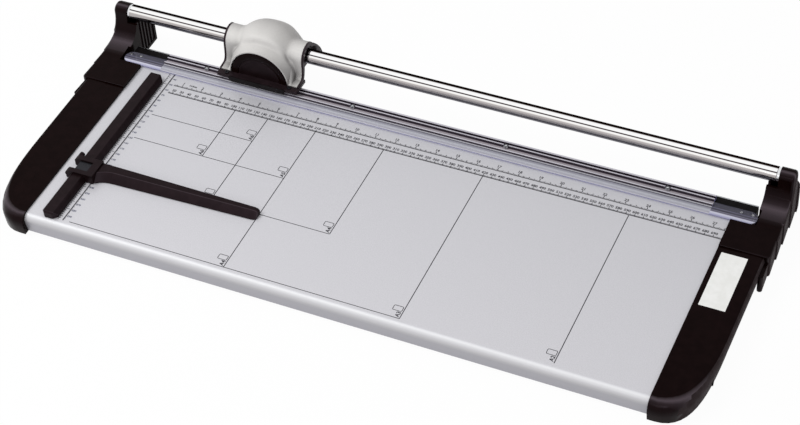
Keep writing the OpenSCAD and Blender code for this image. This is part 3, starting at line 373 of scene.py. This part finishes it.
pale_film = moulded("plain_pale_film", "#f1f1ee", "#f8f8f6", 0.32, 0.04, 1.2, 0.004, PLAIN_IOR)
black_paint = moulded("satin_black_enamel", "#0b090a", "#120f10", 0.4, 0.06, 1.0, 0.015,
                      PLAIN_IOR, gloss=0.06)
ink = moulded("print_ink", "#2a292e", "#35343a", 0.6, 0.04, 0.5, 0.001, PLAIN_IOR, gloss=0.2)
faint_ink = moulded("pale_print_ink", "#4f5266", "#5c5f73", 0.6, 0.04, 0.5, 0.001, PLAIN_IOR,
                    gloss=0.2)
ground_steel = ground_metal("ground_tool_steel", "#9b9c9f", "#c7c8cb", 0.28, ALONG_X)
black_steel = ground_metal("blackened_steel", "#26262a", "#3c3c40", 0.38, ALONG_Z)
bright_nickel = ground_metal("bright_nickel", "#d5d6d8", "#ecedef", 0.16, ALONG_Y)
sheet_coat = coated_sheet()
shell_paint = silver_shell_paint()
chrome = polished_rail()
# Lit and shaded copies of the clear acrylic: painted reflections and shade on the strip's top
# faces, a painted highlight on the ribs' tops, painted shade on their fronts, and a painted violet
# glow on the tab sides and cut ends
acrylic = clear_acrylic("clear_acrylic", "#c9c9e2", "#dedff0", 0.14)
acrylic_lip_painted_light = clear_acrylic("clear_acrylic_on_board_painted_light", "#c9cad8", "#d6d7e2", 0.75, LIP_PAINTED_LIGHT)
acrylic_rib_highlight = clear_acrylic("clear_acrylic_rib", "#c2bfc9", "#d3d0d8", 1.0)
acrylic_valley_painted_light = clear_acrylic("clear_acrylic_over_black_painted_light", "#3b333d", "#4a424c", 1.0, VALLEY_PAINTED_LIGHT)
acrylic_side_shade = clear_acrylic("clear_acrylic_edge_painted_shade", "#2c232f", "#3a313c", 1.0)
acrylic_tab_side_glow = clear_acrylic("clear_acrylic_tab_side", "#aaa8d6", "#c3c1e4", 0.5)
acrylic_tab = clear_acrylic("clear_acrylic_tab", "#8f8ea8", "#b4b4c6", 0.93, TAB_PAINTED_LIGHT)
acrylic_end_glow = clear_acrylic("clear_acrylic_cut_end_painted_glow", "#8d8ac6", "#b3b0e4", 0.95)
board = pressed_board()

# ---- making pieces ----

CRISP, SOFT_CRISP = 32.0, 38.0  # edges that turn more than these degrees stay sharp
SHARP_EDGE = 40                 # edges that turn more than this can be bevelled
MOSTLY = 0.5                    # a face looks along an axis if its normal's part there is more
FULL_TURN = 2 * math.pi


def put(name, bm, finish, body, stands_for=(), crisp=CRISP, weighted=False):
    """Turns a bmesh into a finished piece that rides on a body."""
    for face in bm.faces:
        face.smooth = True
    for edge in bm.edges:
        flat = len(edge.link_faces) == 2 and edge.calc_face_angle(0) < math.radians(crisp)
        edge.smooth = flat
    mesh = bpy.data.meshes.new(name)
    bm.to_mesh(mesh)
    bm.free()
    for each in finish if isinstance(finish, list) else [finish]:
        mesh.materials.append(each)
    made = bpy.data.objects.new(name, mesh)
    bpy.context.scene.collection.objects.link(made)
    if weighted:
        even = made.modifiers.new("even_shading", "WEIGHTED_NORMAL")
        even.keep_sharp = True
    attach(made, body)
    if stands_for:
        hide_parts(*stands_for)


def traced(node):
    """A CAD node's own form as a closed mesh, with its flat faces whole."""
    bm = bmesh.new()
    bm.from_mesh(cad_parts[node].data)
    bmesh.ops.remove_doubles(bm, verts=bm.verts, dist=0.002 * MM)
    bmesh.ops.dissolve_limit(bm, angle_limit=math.radians(0.5), verts=bm.verts, edges=bm.edges)
    return bm


def sharp_edges(bm):
    return [e for e in bm.edges
            if len(e.link_faces) == 2 and e.calc_face_angle(0) > math.radians(SHARP_EDGE)]


def bevel(bm, edges, width_mm, segments=2):
    bmesh.ops.bevel(bm, geom=edges, offset=width_mm * MM, offset_type="OFFSET", segments=segments,
                    profile=0.5, affect="EDGES", clamp_overlap=True, material=-1)


def cut_through(bm, point, way):
    """Cuts new edges where a plane goes through the mesh."""
    bmesh.ops.bisect_plane(bm, geom=bm.verts[:] + bm.edges[:] + bm.faces[:], dist=1e-7,
                           plane_co=point, plane_no=way)


def dress(node, bm, finish, body, crisp=CRISP):
    """Puts a piece that was traced from a CAD node in that node's place."""
    put(node + "_finished", bm, finish, body, (node,), crisp, weighted=True)


def edge_broken(node, finish, body, width_mm=0.0, crisp=CRISP):
    """Dresses a CAD node in its own form, with its sharp edges broken."""
    bm = traced(node)
    if width_mm:
        bevel(bm, sharp_edges(bm), width_mm)
    dress(node, bm, finish, body, crisp)


def drawn_through(rings):
    """The skin that a closed line of points sweeps from place to place."""
    bm = bmesh.new()
    verts = [bm.verts.new(p) for p in rings[0]]
    edges = [bm.edges.new(pair) for pair in zip(verts, verts[1:] + verts[:1])]
    for ring in rings[1:]:
        order = {tuple(v.co): i for i, v in enumerate(verts)}
        grown = bmesh.ops.extrude_edge_only(bm, edges=edges)["geom"]
        verts = [None] * len(ring)
        for v in (g for g in grown if isinstance(g, bmesh.types.BMVert)):
            verts[order[tuple(v.co)]] = v
        moved = set(verts)
        edges = [g for g in grown if isinstance(g, bmesh.types.BMEdge)
                 and all(v in moved for v in g.verts)]
        for v, p in zip(verts, ring):
            v.co = p
    return bm


def turned(profile, centre, steps=96, angle=FULL_TURN, axis=(1, 0, 0), out=(0, 0, 1)):
    """A piece turned on a lathe, from points (along the axis, radius) in millimetres.

    A part turn starts at the way out; flat walls close its two ends."""
    bm = bmesh.new()
    axis, out = Vector(axis), Vector(out)
    whole = abs(angle) >= FULL_TURN
    verts = [bm.verts.new(centre + (axis * along + out * r) * MM) for along, r in profile]
    edges = [bm.edges.new(pair) for pair in zip(verts, verts[1:])]
    bmesh.ops.spin(bm, geom=verts + edges, cent=centre, axis=axis, angle=angle, steps=steps,
                   use_merge=whole, use_duplicate=False)
    bmesh.ops.remove_doubles(bm, verts=bm.verts, dist=0.001 * MM)
    if not whole:
        for end in (1, -1):
            wall = [e for e in bm.edges if len(e.link_faces) < 2
                    and all(end * (v.co - centre).dot(out) > -1e-7 for v in e.verts)]
            bmesh.ops.contextual_create(bm, geom=wall)
    bmesh.ops.recalc_face_normals(bm, faces=bm.faces)
    return bm


# ---- table ----

# The sheet, the board and the lower blade keep their CAD meshes
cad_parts["table_top"].data.materials[0] = sheet_coat
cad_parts["core_board"].data.materials[0] = board
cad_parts["lower_blade"].data.materials[0] = ground_steel
edge_broken("knife_beam", black_paint, "table", 0.3)

BRACKET_FRONT = -77.0  # where a bracket stands up over its end cap
OUTER_SIDE = 400.0     # faces further out than this, from the middle, can be outer sides
SIDE_X = 427.5         # outermost face of the caps and brackets
SIDE_SOFT = 3.5        # a scale's depth fades out over this width, in from the outermost face
# The outer side of a bracket carries scales that overlap: each stands flush at its front end and
# lies SCALE_CUT deep at its rear, where a step SCALE_STEP long goes up to the scale behind it
SCALE_ENDS = [47.0, 31.0, 4.0, -23.7, -48.5, -75.5, -101.2]
SCALE_CUT, SCALE_STEP = 1.6, 0.3
STEP_FOOT = 0.99 * SCALE_CUT


def scale_depth(y):
    """How deep the scales lie at y."""
    if any(abs(y - end) < 1e-3 for end in SCALE_ENDS[1:-1]):
        return STEP_FOOT
    for rear, front in zip(SCALE_ENDS, SCALE_ENDS[1:]):
        if front - 1e-4 <= y:
            return SCALE_CUT * min(1.0, (y - front) / (rear - front))
    return 0.0


def outer_grip(bm, side):
    """Gives the faces that look outwards their own grip finish."""
    for face in bm.faces:
        far_out = abs(face.calc_center_median().x) > OUTER_SIDE * MM
        if far_out and face.normal.x * side > 0.7:
            face.material_index = 1


def is_seam(edge):
    """Whether an edge is the upper front edge of a bracket, where it steps up from its cap."""
    return (all(abs(v.co.y / MM - CUT_Y - BRACKET_FRONT) < 0.1 for v in edge.verts)
            and any(f.normal.z > MOSTLY for f in edge.link_faces))


for side, hand in ((-1, "left"), (1, "right")):
    cap = traced(hand + "_end_cap")
    outer_grip(cap, side)
    dress(hand + "_end_cap", cap, [abs_black, abs_grip], "table", SOFT_CRISP)
    bracket = traced(hand + "_rail_bracket")
    bevel(bracket, [e for e in sharp_edges(bracket) if is_seam(e)], 1.5, 3)
    for end in SCALE_ENDS[1:-1]:
        cut_through(bracket, at(0, end, 0), (0, 1, 0))
        cut_through(bracket, at(0, end + SCALE_STEP, 0), (0, 1, 0))
    outer_grip(bracket, side)
    for vert in bracket.verts:
        out = abs(vert.co.x) / MM - SIDE_X + SIDE_SOFT
        if out > 0:
            deep = scale_depth(vert.co.y / MM - CUT_Y)
            vert.co.x -= side * deep * min(1.0, out / SIDE_SOFT) * MM
    dress(hand + "_rail_bracket", bracket, [abs_black, abs_grip], "table",
          SOFT_CRISP)
for hand in ("left", "right"):
    edge_broken(hand + "_rib_panel", abs_satin, "table", crisp=SOFT_CRISP)
edge_broken("side_guide_bar", abs_satin, "table", 0.35)
edge_broken("rail_collars", bright_nickel, "table", 0.3)
edge_broken("rail_set_screws", black_steel, "table", 0.1)
edge_broken("cap_screws", black_steel, "table", 0.1)
edge_broken("guide_bar_screws", black_steel, "table", 0.2)
edge_broken("lower_blade_screws", black_steel, "table")
edge_broken("rubber_feet", rubber, "table", 0.5)
edge_broken("note_panel", pale_film, "table", 0.1)
edge_broken("strip_screws", bright_nickel, "table", 0.2)
edge_broken("strip_end_pins", bright_nickel, "table", 0.2)

RAIL_R, RAIL_BORE, RAIL_CHAMFER = 9.0, 7.0, 0.4
rail_low, rail_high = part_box("guide_rail")
rail_len = (rail_high.x - rail_low.x) / MM
rail_profile = [(0.0, RAIL_BORE), (0.0, RAIL_R - RAIL_CHAMFER), (RAIL_CHAMFER, RAIL_R),
                (rail_len - RAIL_CHAMFER, RAIL_R), (rail_len, RAIL_R - RAIL_CHAMFER),
                (rail_len, RAIL_BORE), (0.0, RAIL_BORE)]
rail_start = at(rail_low.x / MM, RAIL_Y, RAIL_Z)
put("polished_rail", turned(rail_profile, rail_start), chrome, "table", ("guide_rail",),
    30.0)

# ---- print on the table ----

PRINT_Z = 0.04  # height of the ink over the paper surface
LINE_W, TICK_W = 0.85, 0.75
MM_LINE_Y, INCH_LINE_Y = -64.0, -50.0  # the rulers along the cut
RULER_START, RULER_END = 15, 700
NUMBER_H, MM_NUMBER_UP, INCH_NUMBER_UP = 5.2, 4.4, 5.4
SIDE_INCH_X, SIDE_MM_X = 0.7, 6.7      # the rulers along the paper edge
SIDE_START, SIDE_END = 31, 298


def mark(bm, x0, y0, x1, y1, width=LINE_W):
    """A printed line; x is counted from the paper edge."""
    run = Vector((x1 - x0, y1 - y0, 0))
    middle = at((x0 + x1) / 2 - PAPER_EDGE, (y0 + y1) / 2, PRINT_Z)
    turn = Matrix.Rotation(math.atan2(run.y, run.x), 4, "Z")
    size = Matrix.Diagonal((run.length * MM, width * MM, 1, 1))
    bmesh.ops.create_grid(bm, x_segments=1, y_segments=1, size=0.5,
                          matrix=Matrix.Translation(middle) @ turn @ size)


def letter(bm, text, x, y, height, turn=0.0, align="CENTER"):
    """Printed text from its baseline, its strokes thickened a little; x as in mark()."""
    font = bpy.data.curves.new("label", "FONT")
    font.body, font.size, font.align_x, font.resolution_u = text, height * MM, align, 2
    font.offset = 0.03 * height * MM
    holder = bpy.data.objects.new("label", font)
    bpy.context.scene.collection.objects.link(holder)
    view = bpy.context.evaluated_depsgraph_get()
    mesh = bpy.data.meshes.new_from_object(holder.evaluated_get(view))
    turned_by = Matrix.Rotation(math.radians(turn), 4, "Z")
    mesh.transform(Matrix.Translation(at(x - PAPER_EDGE, y, PRINT_Z)) @ turned_by)
    bm.from_mesh(mesh)
    bpy.data.objects.remove(holder)
    bpy.data.curves.remove(font)
    bpy.data.meshes.remove(mesh)


def format_mark(bm, x, y, name):
    """A small page outline beside the corner of a paper format, with its name."""
    left, right, low, high, cut = x - 12.6, x - 1.9, y + 10.0, y + 16.8, 0.8
    corners = [(left, low + cut), (left, high - cut), (left + cut, high), (right - cut, high),
               (right, high - cut), (right, low + cut), (right - cut, low), (left + cut, low),
               (left, low + cut)]
    for a, b in zip(corners, corners[1:]):
        mark(bm, *a, *b, TICK_W)
    letter(bm, name, x - 1.8, y + 1.6, 6.6, 90.0, "LEFT")


def by_rank(step, *ranks):
    """The size of a ruler's tick: that of the first (every, size) with step as a multiple."""
    return next(size for every, size in ranks if step % every == 0)


# Rulers along the cut: millimetres with a number each centimetre, then sixteenths of an inch
scales = bmesh.new()
mark(scales, RULER_START, MM_LINE_Y, RULER_END, MM_LINE_Y)
mark(scales, RULER_START, INCH_LINE_Y, RULER_END + 1, INCH_LINE_Y)
for step in range(RULER_START, RULER_END + 1):
    tall = by_rank(step, (10, 3.4), (5, 2.6), (1, 1.9))
    mark(scales, step, MM_LINE_Y, step, MM_LINE_Y + tall, by_rank(step, (10, 0.9), (1, 0.6)))
for step in range(2, 70):
    letter(scales, str(step * 10), step * 10, MM_LINE_Y + MM_NUMBER_UP, NUMBER_H)
for step in range(10, 27 * 16 + 9):
    x, tall = step * INCH / 16, by_rank(step, (16, 5.0), (8, 3.6), (4, 2.8), (1, 2.0))
    mark(scales, x, INCH_LINE_Y, x, INCH_LINE_Y + tall, by_rank(step, (4, 0.9), (1, 0.7)))
for step in range(1, 28):
    letter(scales, str(step), step * INCH, INCH_LINE_Y + INCH_NUMBER_UP, NUMBER_H)
letter(scales, "inches", 1.5 * INCH, INCH_LINE_Y + INCH_NUMBER_UP, 4.0)
# Rulers along the paper edge: millimetres, then eighths of an inch
for x, width in ((SIDE_INCH_X, 0.6), (SIDE_MM_X, 1.2)):
    mark(scales, x, -SIDE_START, x, -SIDE_END, width)
for step in range(SIDE_START + 1, SIDE_END):
    wide = by_rank(step, (10, 2.8), (5, 2.0), (1, 1.2))
    mark(scales, SIDE_MM_X, -step, SIDE_MM_X + wide, -step, 0.5)
for step in range(10, 94):
    y, wide = -step * INCH / 8, by_rank(step, (8, 4.6), (4, 3.2), (1, 1.8))
    mark(scales, SIDE_INCH_X + 0.2, y, SIDE_INCH_X + 0.2 + wide, y, TICK_W)
put("printed_scales", scales, ink, "table")
side_numbers = bmesh.new()
for step in range(4, 30):
    letter(side_numbers, str(step * 10), 11.2, -step * 10 - 1.4, 3.8)
put("printed_side_numbers", side_numbers, faint_ink, "table")

# Paper formats: lines along y with their ends, lines along x with theirs, and the named corners
formats = bmesh.new()
for x, end in ((105, -148), (148, -210), (210, -297.5), (297, -210), (420, -297.5),
               (594, -296.5)):
    mark(formats, x, MM_LINE_Y, x, end, 1.0)
for y, end in ((-105, 148), (-148, 210), (-210, 297), (-297.5, 420)):
    mark(formats, RULER_START, y, end, y)
for x, y, name in ((148, -105, "A6"), (105, -148, "A6"), (210, -148, "A5"), (148, -210, "A5"),
                   (297, -210, "A4"), (210, -297.5, "A4"), (420, -297.5, "A3"),
                   (594, -296.5, "A2")):
    format_mark(formats, x, y, name)
put("printed_formats", formats, ink, "table")

# ---- clamp strip ----

STRIP_RAISED = 344.5       # the ribbed part ends here, and a low tab goes on at each end
STRIP_RIDGE_FRONT = -20.7  # in front of this its upper faces lie over the board
STRIP_RIB_Z = 3.5          # upper faces above this are the ribs' tops
STRIP_FRONT = -32.0        # the faces of its front edge lie in front of this
STRIP_FINISHES = [acrylic, acrylic_lip_painted_light, acrylic_rib_highlight, acrylic_valley_painted_light, acrylic_side_shade,
                  acrylic_tab_side_glow, acrylic_end_glow, acrylic_tab]


def strip_finish(face):
    """The finish that shows on a face of the strip, by its place and the way it looks, which picks
    its painted light or shade.
    """
    centre = (face.calc_center_median() - at(0, 0, 0)) / MM
    raised = abs(centre.x) < STRIP_RAISED + 0.2
    along = abs(face.normal.x)
    if face.normal.z < -MOSTLY:
        return acrylic
    if face.normal.z > MOSTLY:
        if not raised:
            return acrylic_tab
        if centre.z > STRIP_RIB_Z:
            return acrylic_rib_highlight
        return acrylic_lip_painted_light if centre.y < STRIP_RIDGE_FRONT else acrylic_valley_painted_light
    if along > MOSTLY and abs(abs(centre.x) - STRIP_RAISED) < 0.6:
        return acrylic_end_glow
    rib_side = raised and along < MOSTLY and centre.y > STRIP_FRONT
    return acrylic_side_shade if rib_side else acrylic_tab_side_glow


strip = traced("clamp_strip")
for side in (-1, 1):
    cut_through(strip, at(side * STRIP_RAISED, 0, 0), (1, 0, 0))
bevel(strip, sharp_edges(strip), 0.2)
for face in strip.faces:
    face.material_index = STRIP_FINISHES.index(strip_finish(face))
put("clear_strip", strip, STRIP_FINISHES, "strip", ("clamp_strip",), 30.0,
    weighted=True)

# ---- cutting head ----


def arc(cy, cz, r, start, end, n):
    """n + 1 points of a circle, from one angle to another in degrees."""
    angles = [math.radians(start + (end - start) * i / n) for i in range(n + 1)]
    return [Vector((cy + r * math.cos(a), cz + r * math.sin(a))) for a in angles]


def curve(p, n):
    """n + 1 points of a cubic curve over four points."""
    def point(t):
        u = 1 - t
        return p[0] * u ** 3 + p[1] * 3 * u * u * t + p[2] * 3 * u * t * t + p[3] * t ** 3
    return [point(i / n) for i in range(n + 1)]


def spots(*numbers):
    return [Vector(p) for p in numbers]


# The shell has a sleeve (neck) round the rail, a crown that rises in the middle, and a hood over
# the round blade's cover
BAR_TOP = 12.0                   # top of the head's front bar, where the cover's half circle ends
COVER_FRONT = 14.5               # front face of the cover
SHELL_HALF, SHELL_T = 50.3, 2.2  # half of the shell's length along x, and its wall
NECK_R = 16.4
CROWN_R, CROWN_Z, CROWN_HALF = 38.3, 28.2, 33.0  # radius, centre height, half length along x
CROWN_REAR = RAIL_Y + CROWN_R
CROWN_SOFT, CROWN_TAIL = 0.93, 0.2  # shares of CROWN_HALF: where its soft end starts, its length
CROWN_POWERS = 2.6, 0.74            # of its rounded outline along x
ARCH_R = 37.5                       # the hood's opening round the cover
HOOD_FLARE, HOOD_EDGE = 5.0, 1.2    # the hood's rise over the arch, at its crease and its edge
LAP = 1.6                           # past the arch, the hood's edge lies this far over the bar
CREASE_Y, CREASE_UP = -3.0, 3       # the crease's y, and its height over the bar past the arch


def neck_body(t, n):
    """The neck's section t inside its face, from its front over the top to the rear."""
    top = arc(RAIL_Y, RAIL_Z + 1, NECK_R - t, 175, 60, n)
    start = (RAIL_Y + NECK_R * 0.65 - t * 0.5, RAIL_Z + NECK_R * 0.75 - t)
    end = (CROWN_REAR - 4 - t, BAR_TOP)
    return top + curve(spots(start, (RAIL_Y + NECK_R + 6, RAIL_Z + 2),
                             (CROWN_REAR - 6 - t, CROWN_Z - 2), end), n)


def crown_body(t, n):
    """The crown's section t inside its face, from its front over the top to the rear."""
    r, turn = CROWN_R - t, math.radians(36)
    start = (RAIL_Y + r * math.cos(turn), CROWN_Z + r * math.sin(turn))
    end = (CROWN_REAR - 3 - t, BAR_TOP)
    return arc(RAIL_Y, CROWN_Z, r, 112, 40, n) + curve(
        spots(start, (CROWN_REAR - 2 - t, CROWN_Z + 12), (CROWN_REAR - t, CROWN_Z), end), n)


def crown_share(u):
    """How much of the crown stands at a distance u from the middle; it ends softly in the neck."""
    k = abs(u) / CROWN_HALF
    inner, outer = CROWN_POWERS
    if k < CROWN_SOFT:
        return (1 - k ** inner) ** outer
    return (1 - CROWN_SOFT ** inner) ** outer * max(0.0, 1 - (k - CROWN_SOFT) / CROWN_TAIL) ** 2


def half_chord(r, u):
    return math.sqrt(max(0.0, r * r - u * u))


def head_line(u, t, n=14):
    """The head at u, t inside its face: front edge, hood up to the crease, steep face, body."""
    w, share = crown_share(u), 1 - t / SHELL_T
    arch = half_chord(ARCH_R + HOOD_EDGE * share, u)
    edge = Vector((-COVER_FRONT, BAR_TOP + max(LAP * share, arch)))
    flare = half_chord(ARCH_R + HOOD_FLARE - t, u)
    rim = max(0.1, CREASE_UP - 0.9 * t)
    crease = Vector((CREASE_Y + 0.3 * t, BAR_TOP + (flare ** 3 + rim ** 3) ** (1 / 3)))
    body = [a.lerp(b, w) for a, b in zip(neck_body(t, n), crown_body(t, n))]
    rise = (body[0] - crease).length
    out = Vector((0.9, 0.45)) * (1 - w) * min(5.5, 0.4 * rise) + Vector((2.4, 1.8)) * w
    up = Vector((0.087, 0.996)).lerp(Vector((0.927, 0.375)), w) * min(0.4 * rise, 10)
    back = crease - edge
    hood = curve([edge, edge + Vector((0.4 * back.x, 0.2 * back.y)),
                  crease - Vector((0.33 * back.x, 0.45 * back.y)), crease], 8)
    steep = curve([crease, crease + out, body[0] - up, body[0]], 10)
    return hood[:-1] + steep[:-1] + body


def head_ring(u):
    """The shell's section at u: its outer face, then its inner one back again."""
    return [at(HEAD_X + u, p.x, p.y) for p in head_line(u, 0.0) + head_line(u, SHELL_T)[::-1]]


# Sections along x from the middle: even over the arch, then closer round its foot and the
# crown's soft end
sections = [ARCH_R * math.sin(math.radians(a)) for a in range(0, 88, 4)] + [
    37.47, 37.6, 38.0, 38.4, 38.65, 38.8, 39.3, 40, 40.8, 41.6, 42.2, 42.5, 42.8, 43.4, 44.4, 46,
    48, SHELL_HALF]
sections = [-u for u in reversed(sections[1:])] + sections
shell = drawn_through([head_ring(u) for u in sections])
for end in (-SHELL_HALF, SHELL_HALF):
    end_x = at(HEAD_X + end, 0, 0).x
    wall = [e for e in shell.edges if all(abs(v.co.x - end_x) < 1e-6 for v in e.verts)]
    bmesh.ops.contextual_create(shell, geom=wall)
bmesh.ops.recalc_face_normals(shell, faces=shell.faces)
put("silver_shell", shell, shell_paint, "cutting_head", ("head_shell",), 50.0)

edge_broken("head_frame", abs_frame, "cutting_head", crisp=SOFT_CRISP)
edge_broken("head_carriage", nylon_dark, "cutting_head", 0.3)
edge_broken("rail_bushes", acetal, "cutting_head", 0.2)
edge_broken("blade_axle", ground_steel, "cutting_head", 0.3)
edge_broken("axle_nut", ground_steel, "cutting_head", 0.2)
edge_broken("blade_washers", bright_nickel, "cutting_head", 0.1)
edge_broken("head_screws", black_steel, "cutting_head", 0.2)
edge_broken("strip_shoe", nylon_dark, "cutting_head", 0.3)
edge_broken("rotary_blade", ground_steel, "blade")
edge_broken("blade_hub", acetal, "blade", 0.2)

# Blade cover: half of a turned cup with a rolled rim round a sunk face, and a disc on that face.
# Points are (y from the cut line, radius)
COVER_FACE = -13.3
cover_axis = at(HEAD_X, 0, BAR_TOP)
cover_profile = [(COVER_FACE, 26.9), (-14.2, 27.1), (-COVER_FRONT, 27.7), (-COVER_FRONT, 34.2),
                 (-14.35, 35.3), (-13.9, 36.2), (-13.2, 36.85), (-12.2, 37.2), (-2.5, 37.2),
                 (-2.5, 34.6), (-11.9, 34.6), (-11.9, 0.0), (COVER_FACE, 0.0), (COVER_FACE, 26.9)]
disc_profile = [(COVER_FACE, 26.8), (-14.0, 26.8), (-14.1, 26.6), (-14.1, 25.0), (-14.0, 24.5),
                (-13.75, 24.3), (-13.7, 23.6), (-13.7, 0.0), (COVER_FACE, 0.0),
                (COVER_FACE, 26.8)]
half_turn = dict(steps=64, angle=-math.pi, axis=(0, 1, 0), out=(1, 0, 0))
put("half_round_cover", turned(cover_profile, cover_axis, **half_turn), abs_black,
    "cutting_head", ("blade_cover",), 40.0)
put("cover_face_disc", turned(disc_profile, cover_axis + Vector((0, 0, 0.2 * MM)), **half_turn),
    abs_satin, "cutting_head", ("cover_disc",), 40.0)

# ---- paper stop ----

edge_broken("paper_stop", abs_satin, "stop", 0.5, SOFT_CRISP)
edge_broken("stop_yoke", abs_satin, "stop", 0.3)
edge_broken("stop_spring", black_steel, "stop", 0.1)

# ---- studio ----

FLOOR_HALF, FLOOR_Z = 6.0, -0.0005  # metres
FLOOR_GLOW, SKY_LIGHT = 0.96, 0.55
WHITE = (1, 1, 1, 1)


def shown_rays(tree):
    """1 for a ray that shows what it meets, seen, mirrored or through glass; 0 for the light's."""
    ray = add(tree, "ShaderNodeLightPath").outputs
    seen = math_node(tree, "MAXIMUM", ray["Is Camera Ray"], ray["Is Glossy Ray"])
    return math_node(tree, "MAXIMUM", seen, ray["Is Transmission Ray"])


stage_white = bpy.data.materials.new("pale_floor")
stage_white.use_nodes = True
tree = stage_white.node_tree
tree.nodes.clear()
lit = add(tree, "ShaderNodeBsdfDiffuse", {"Color": paint("#f4f4f4")})
glow = add(tree, "ShaderNodeEmission", {"Color": WHITE, "Strength": 1.0})
share = math_node(tree, "MULTIPLY", shown_rays(tree), FLOOR_GLOW)
both = add(tree, "ShaderNodeMixShader",
           {0: share, 1: lit.outputs["BSDF"], 2: glow.outputs["Emission"]})
add(tree, "ShaderNodeOutputMaterial", {"Surface": both.outputs["Shader"]})
floor_mesh = bmesh.new()
bmesh.ops.create_grid(floor_mesh, x_segments=1, y_segments=1, size=FLOOR_HALF,
                      matrix=Matrix.Translation((0, 0, FLOOR_Z)))
floor_data = bpy.data.meshes.new("floor")
floor_mesh.to_mesh(floor_data)
floor_mesh.free()
floor_data.materials.append(stage_white)
floor = bpy.data.objects.new("floor", floor_data)
bpy.context.scene.collection.objects.link(floor)

world = bpy.data.worlds.new("studio")
bpy.context.scene.world = world
world.use_nodes = True
tree = world.node_tree
tree.nodes.clear()
plain = add(tree, "ShaderNodeBackground", {"Color": WHITE, "Strength": SKY_LIGHT})
white = add(tree, "ShaderNodeBackground", {"Color": WHITE, "Strength": 1.0})
sky = add(tree, "ShaderNodeMixShader",
          {0: shown_rays(tree), 1: plain.outputs[0], 2: white.outputs[0]})
add(tree, "ShaderNodeOutputWorld", {"Surface": sky.outputs["Shader"]})


def lamp(name, place, size, power):
    """A soft box that looks at the machine; place and size are in metres, power in watts."""
    data = bpy.data.lights.new(name, "AREA")
    data.shape, data.size, data.size_y, data.energy = "RECTANGLE", size[0], size[1], power
    made = bpy.data.objects.new(name, data)
    made.location = place
    made.rotation_euler = (-Vector(place)).to_track_quat("-Z", "Y").to_euler()
    bpy.context.scene.collection.objects.link(made)
    return made


lamp("key_soft_box", (-1.3, -0.6, 1.9), (1.2, 1.2), 28).visible_glossy = False
lamp("front_soft_box", (0.7, -2.2, 1.3), (1.4, 0.7), 7)

# The camera that the corners of the paper formats give
camera_data = bpy.data.cameras.new("camera")
camera_data.lens = 91.84
camera_data.sensor_width = 36.0
camera = bpy.data.objects.new("camera", camera_data)
camera.location = (0.75043, -1.47012, 1.62124)
camera.rotation_euler = tuple(math.radians(a) for a in (45.3905, 2.8337, 23.8229))
bpy.context.scene.collection.objects.link(camera)
bpy.context.scene.camera = camera
bpy.context.scene.view_settings.view_transform = "Standard"
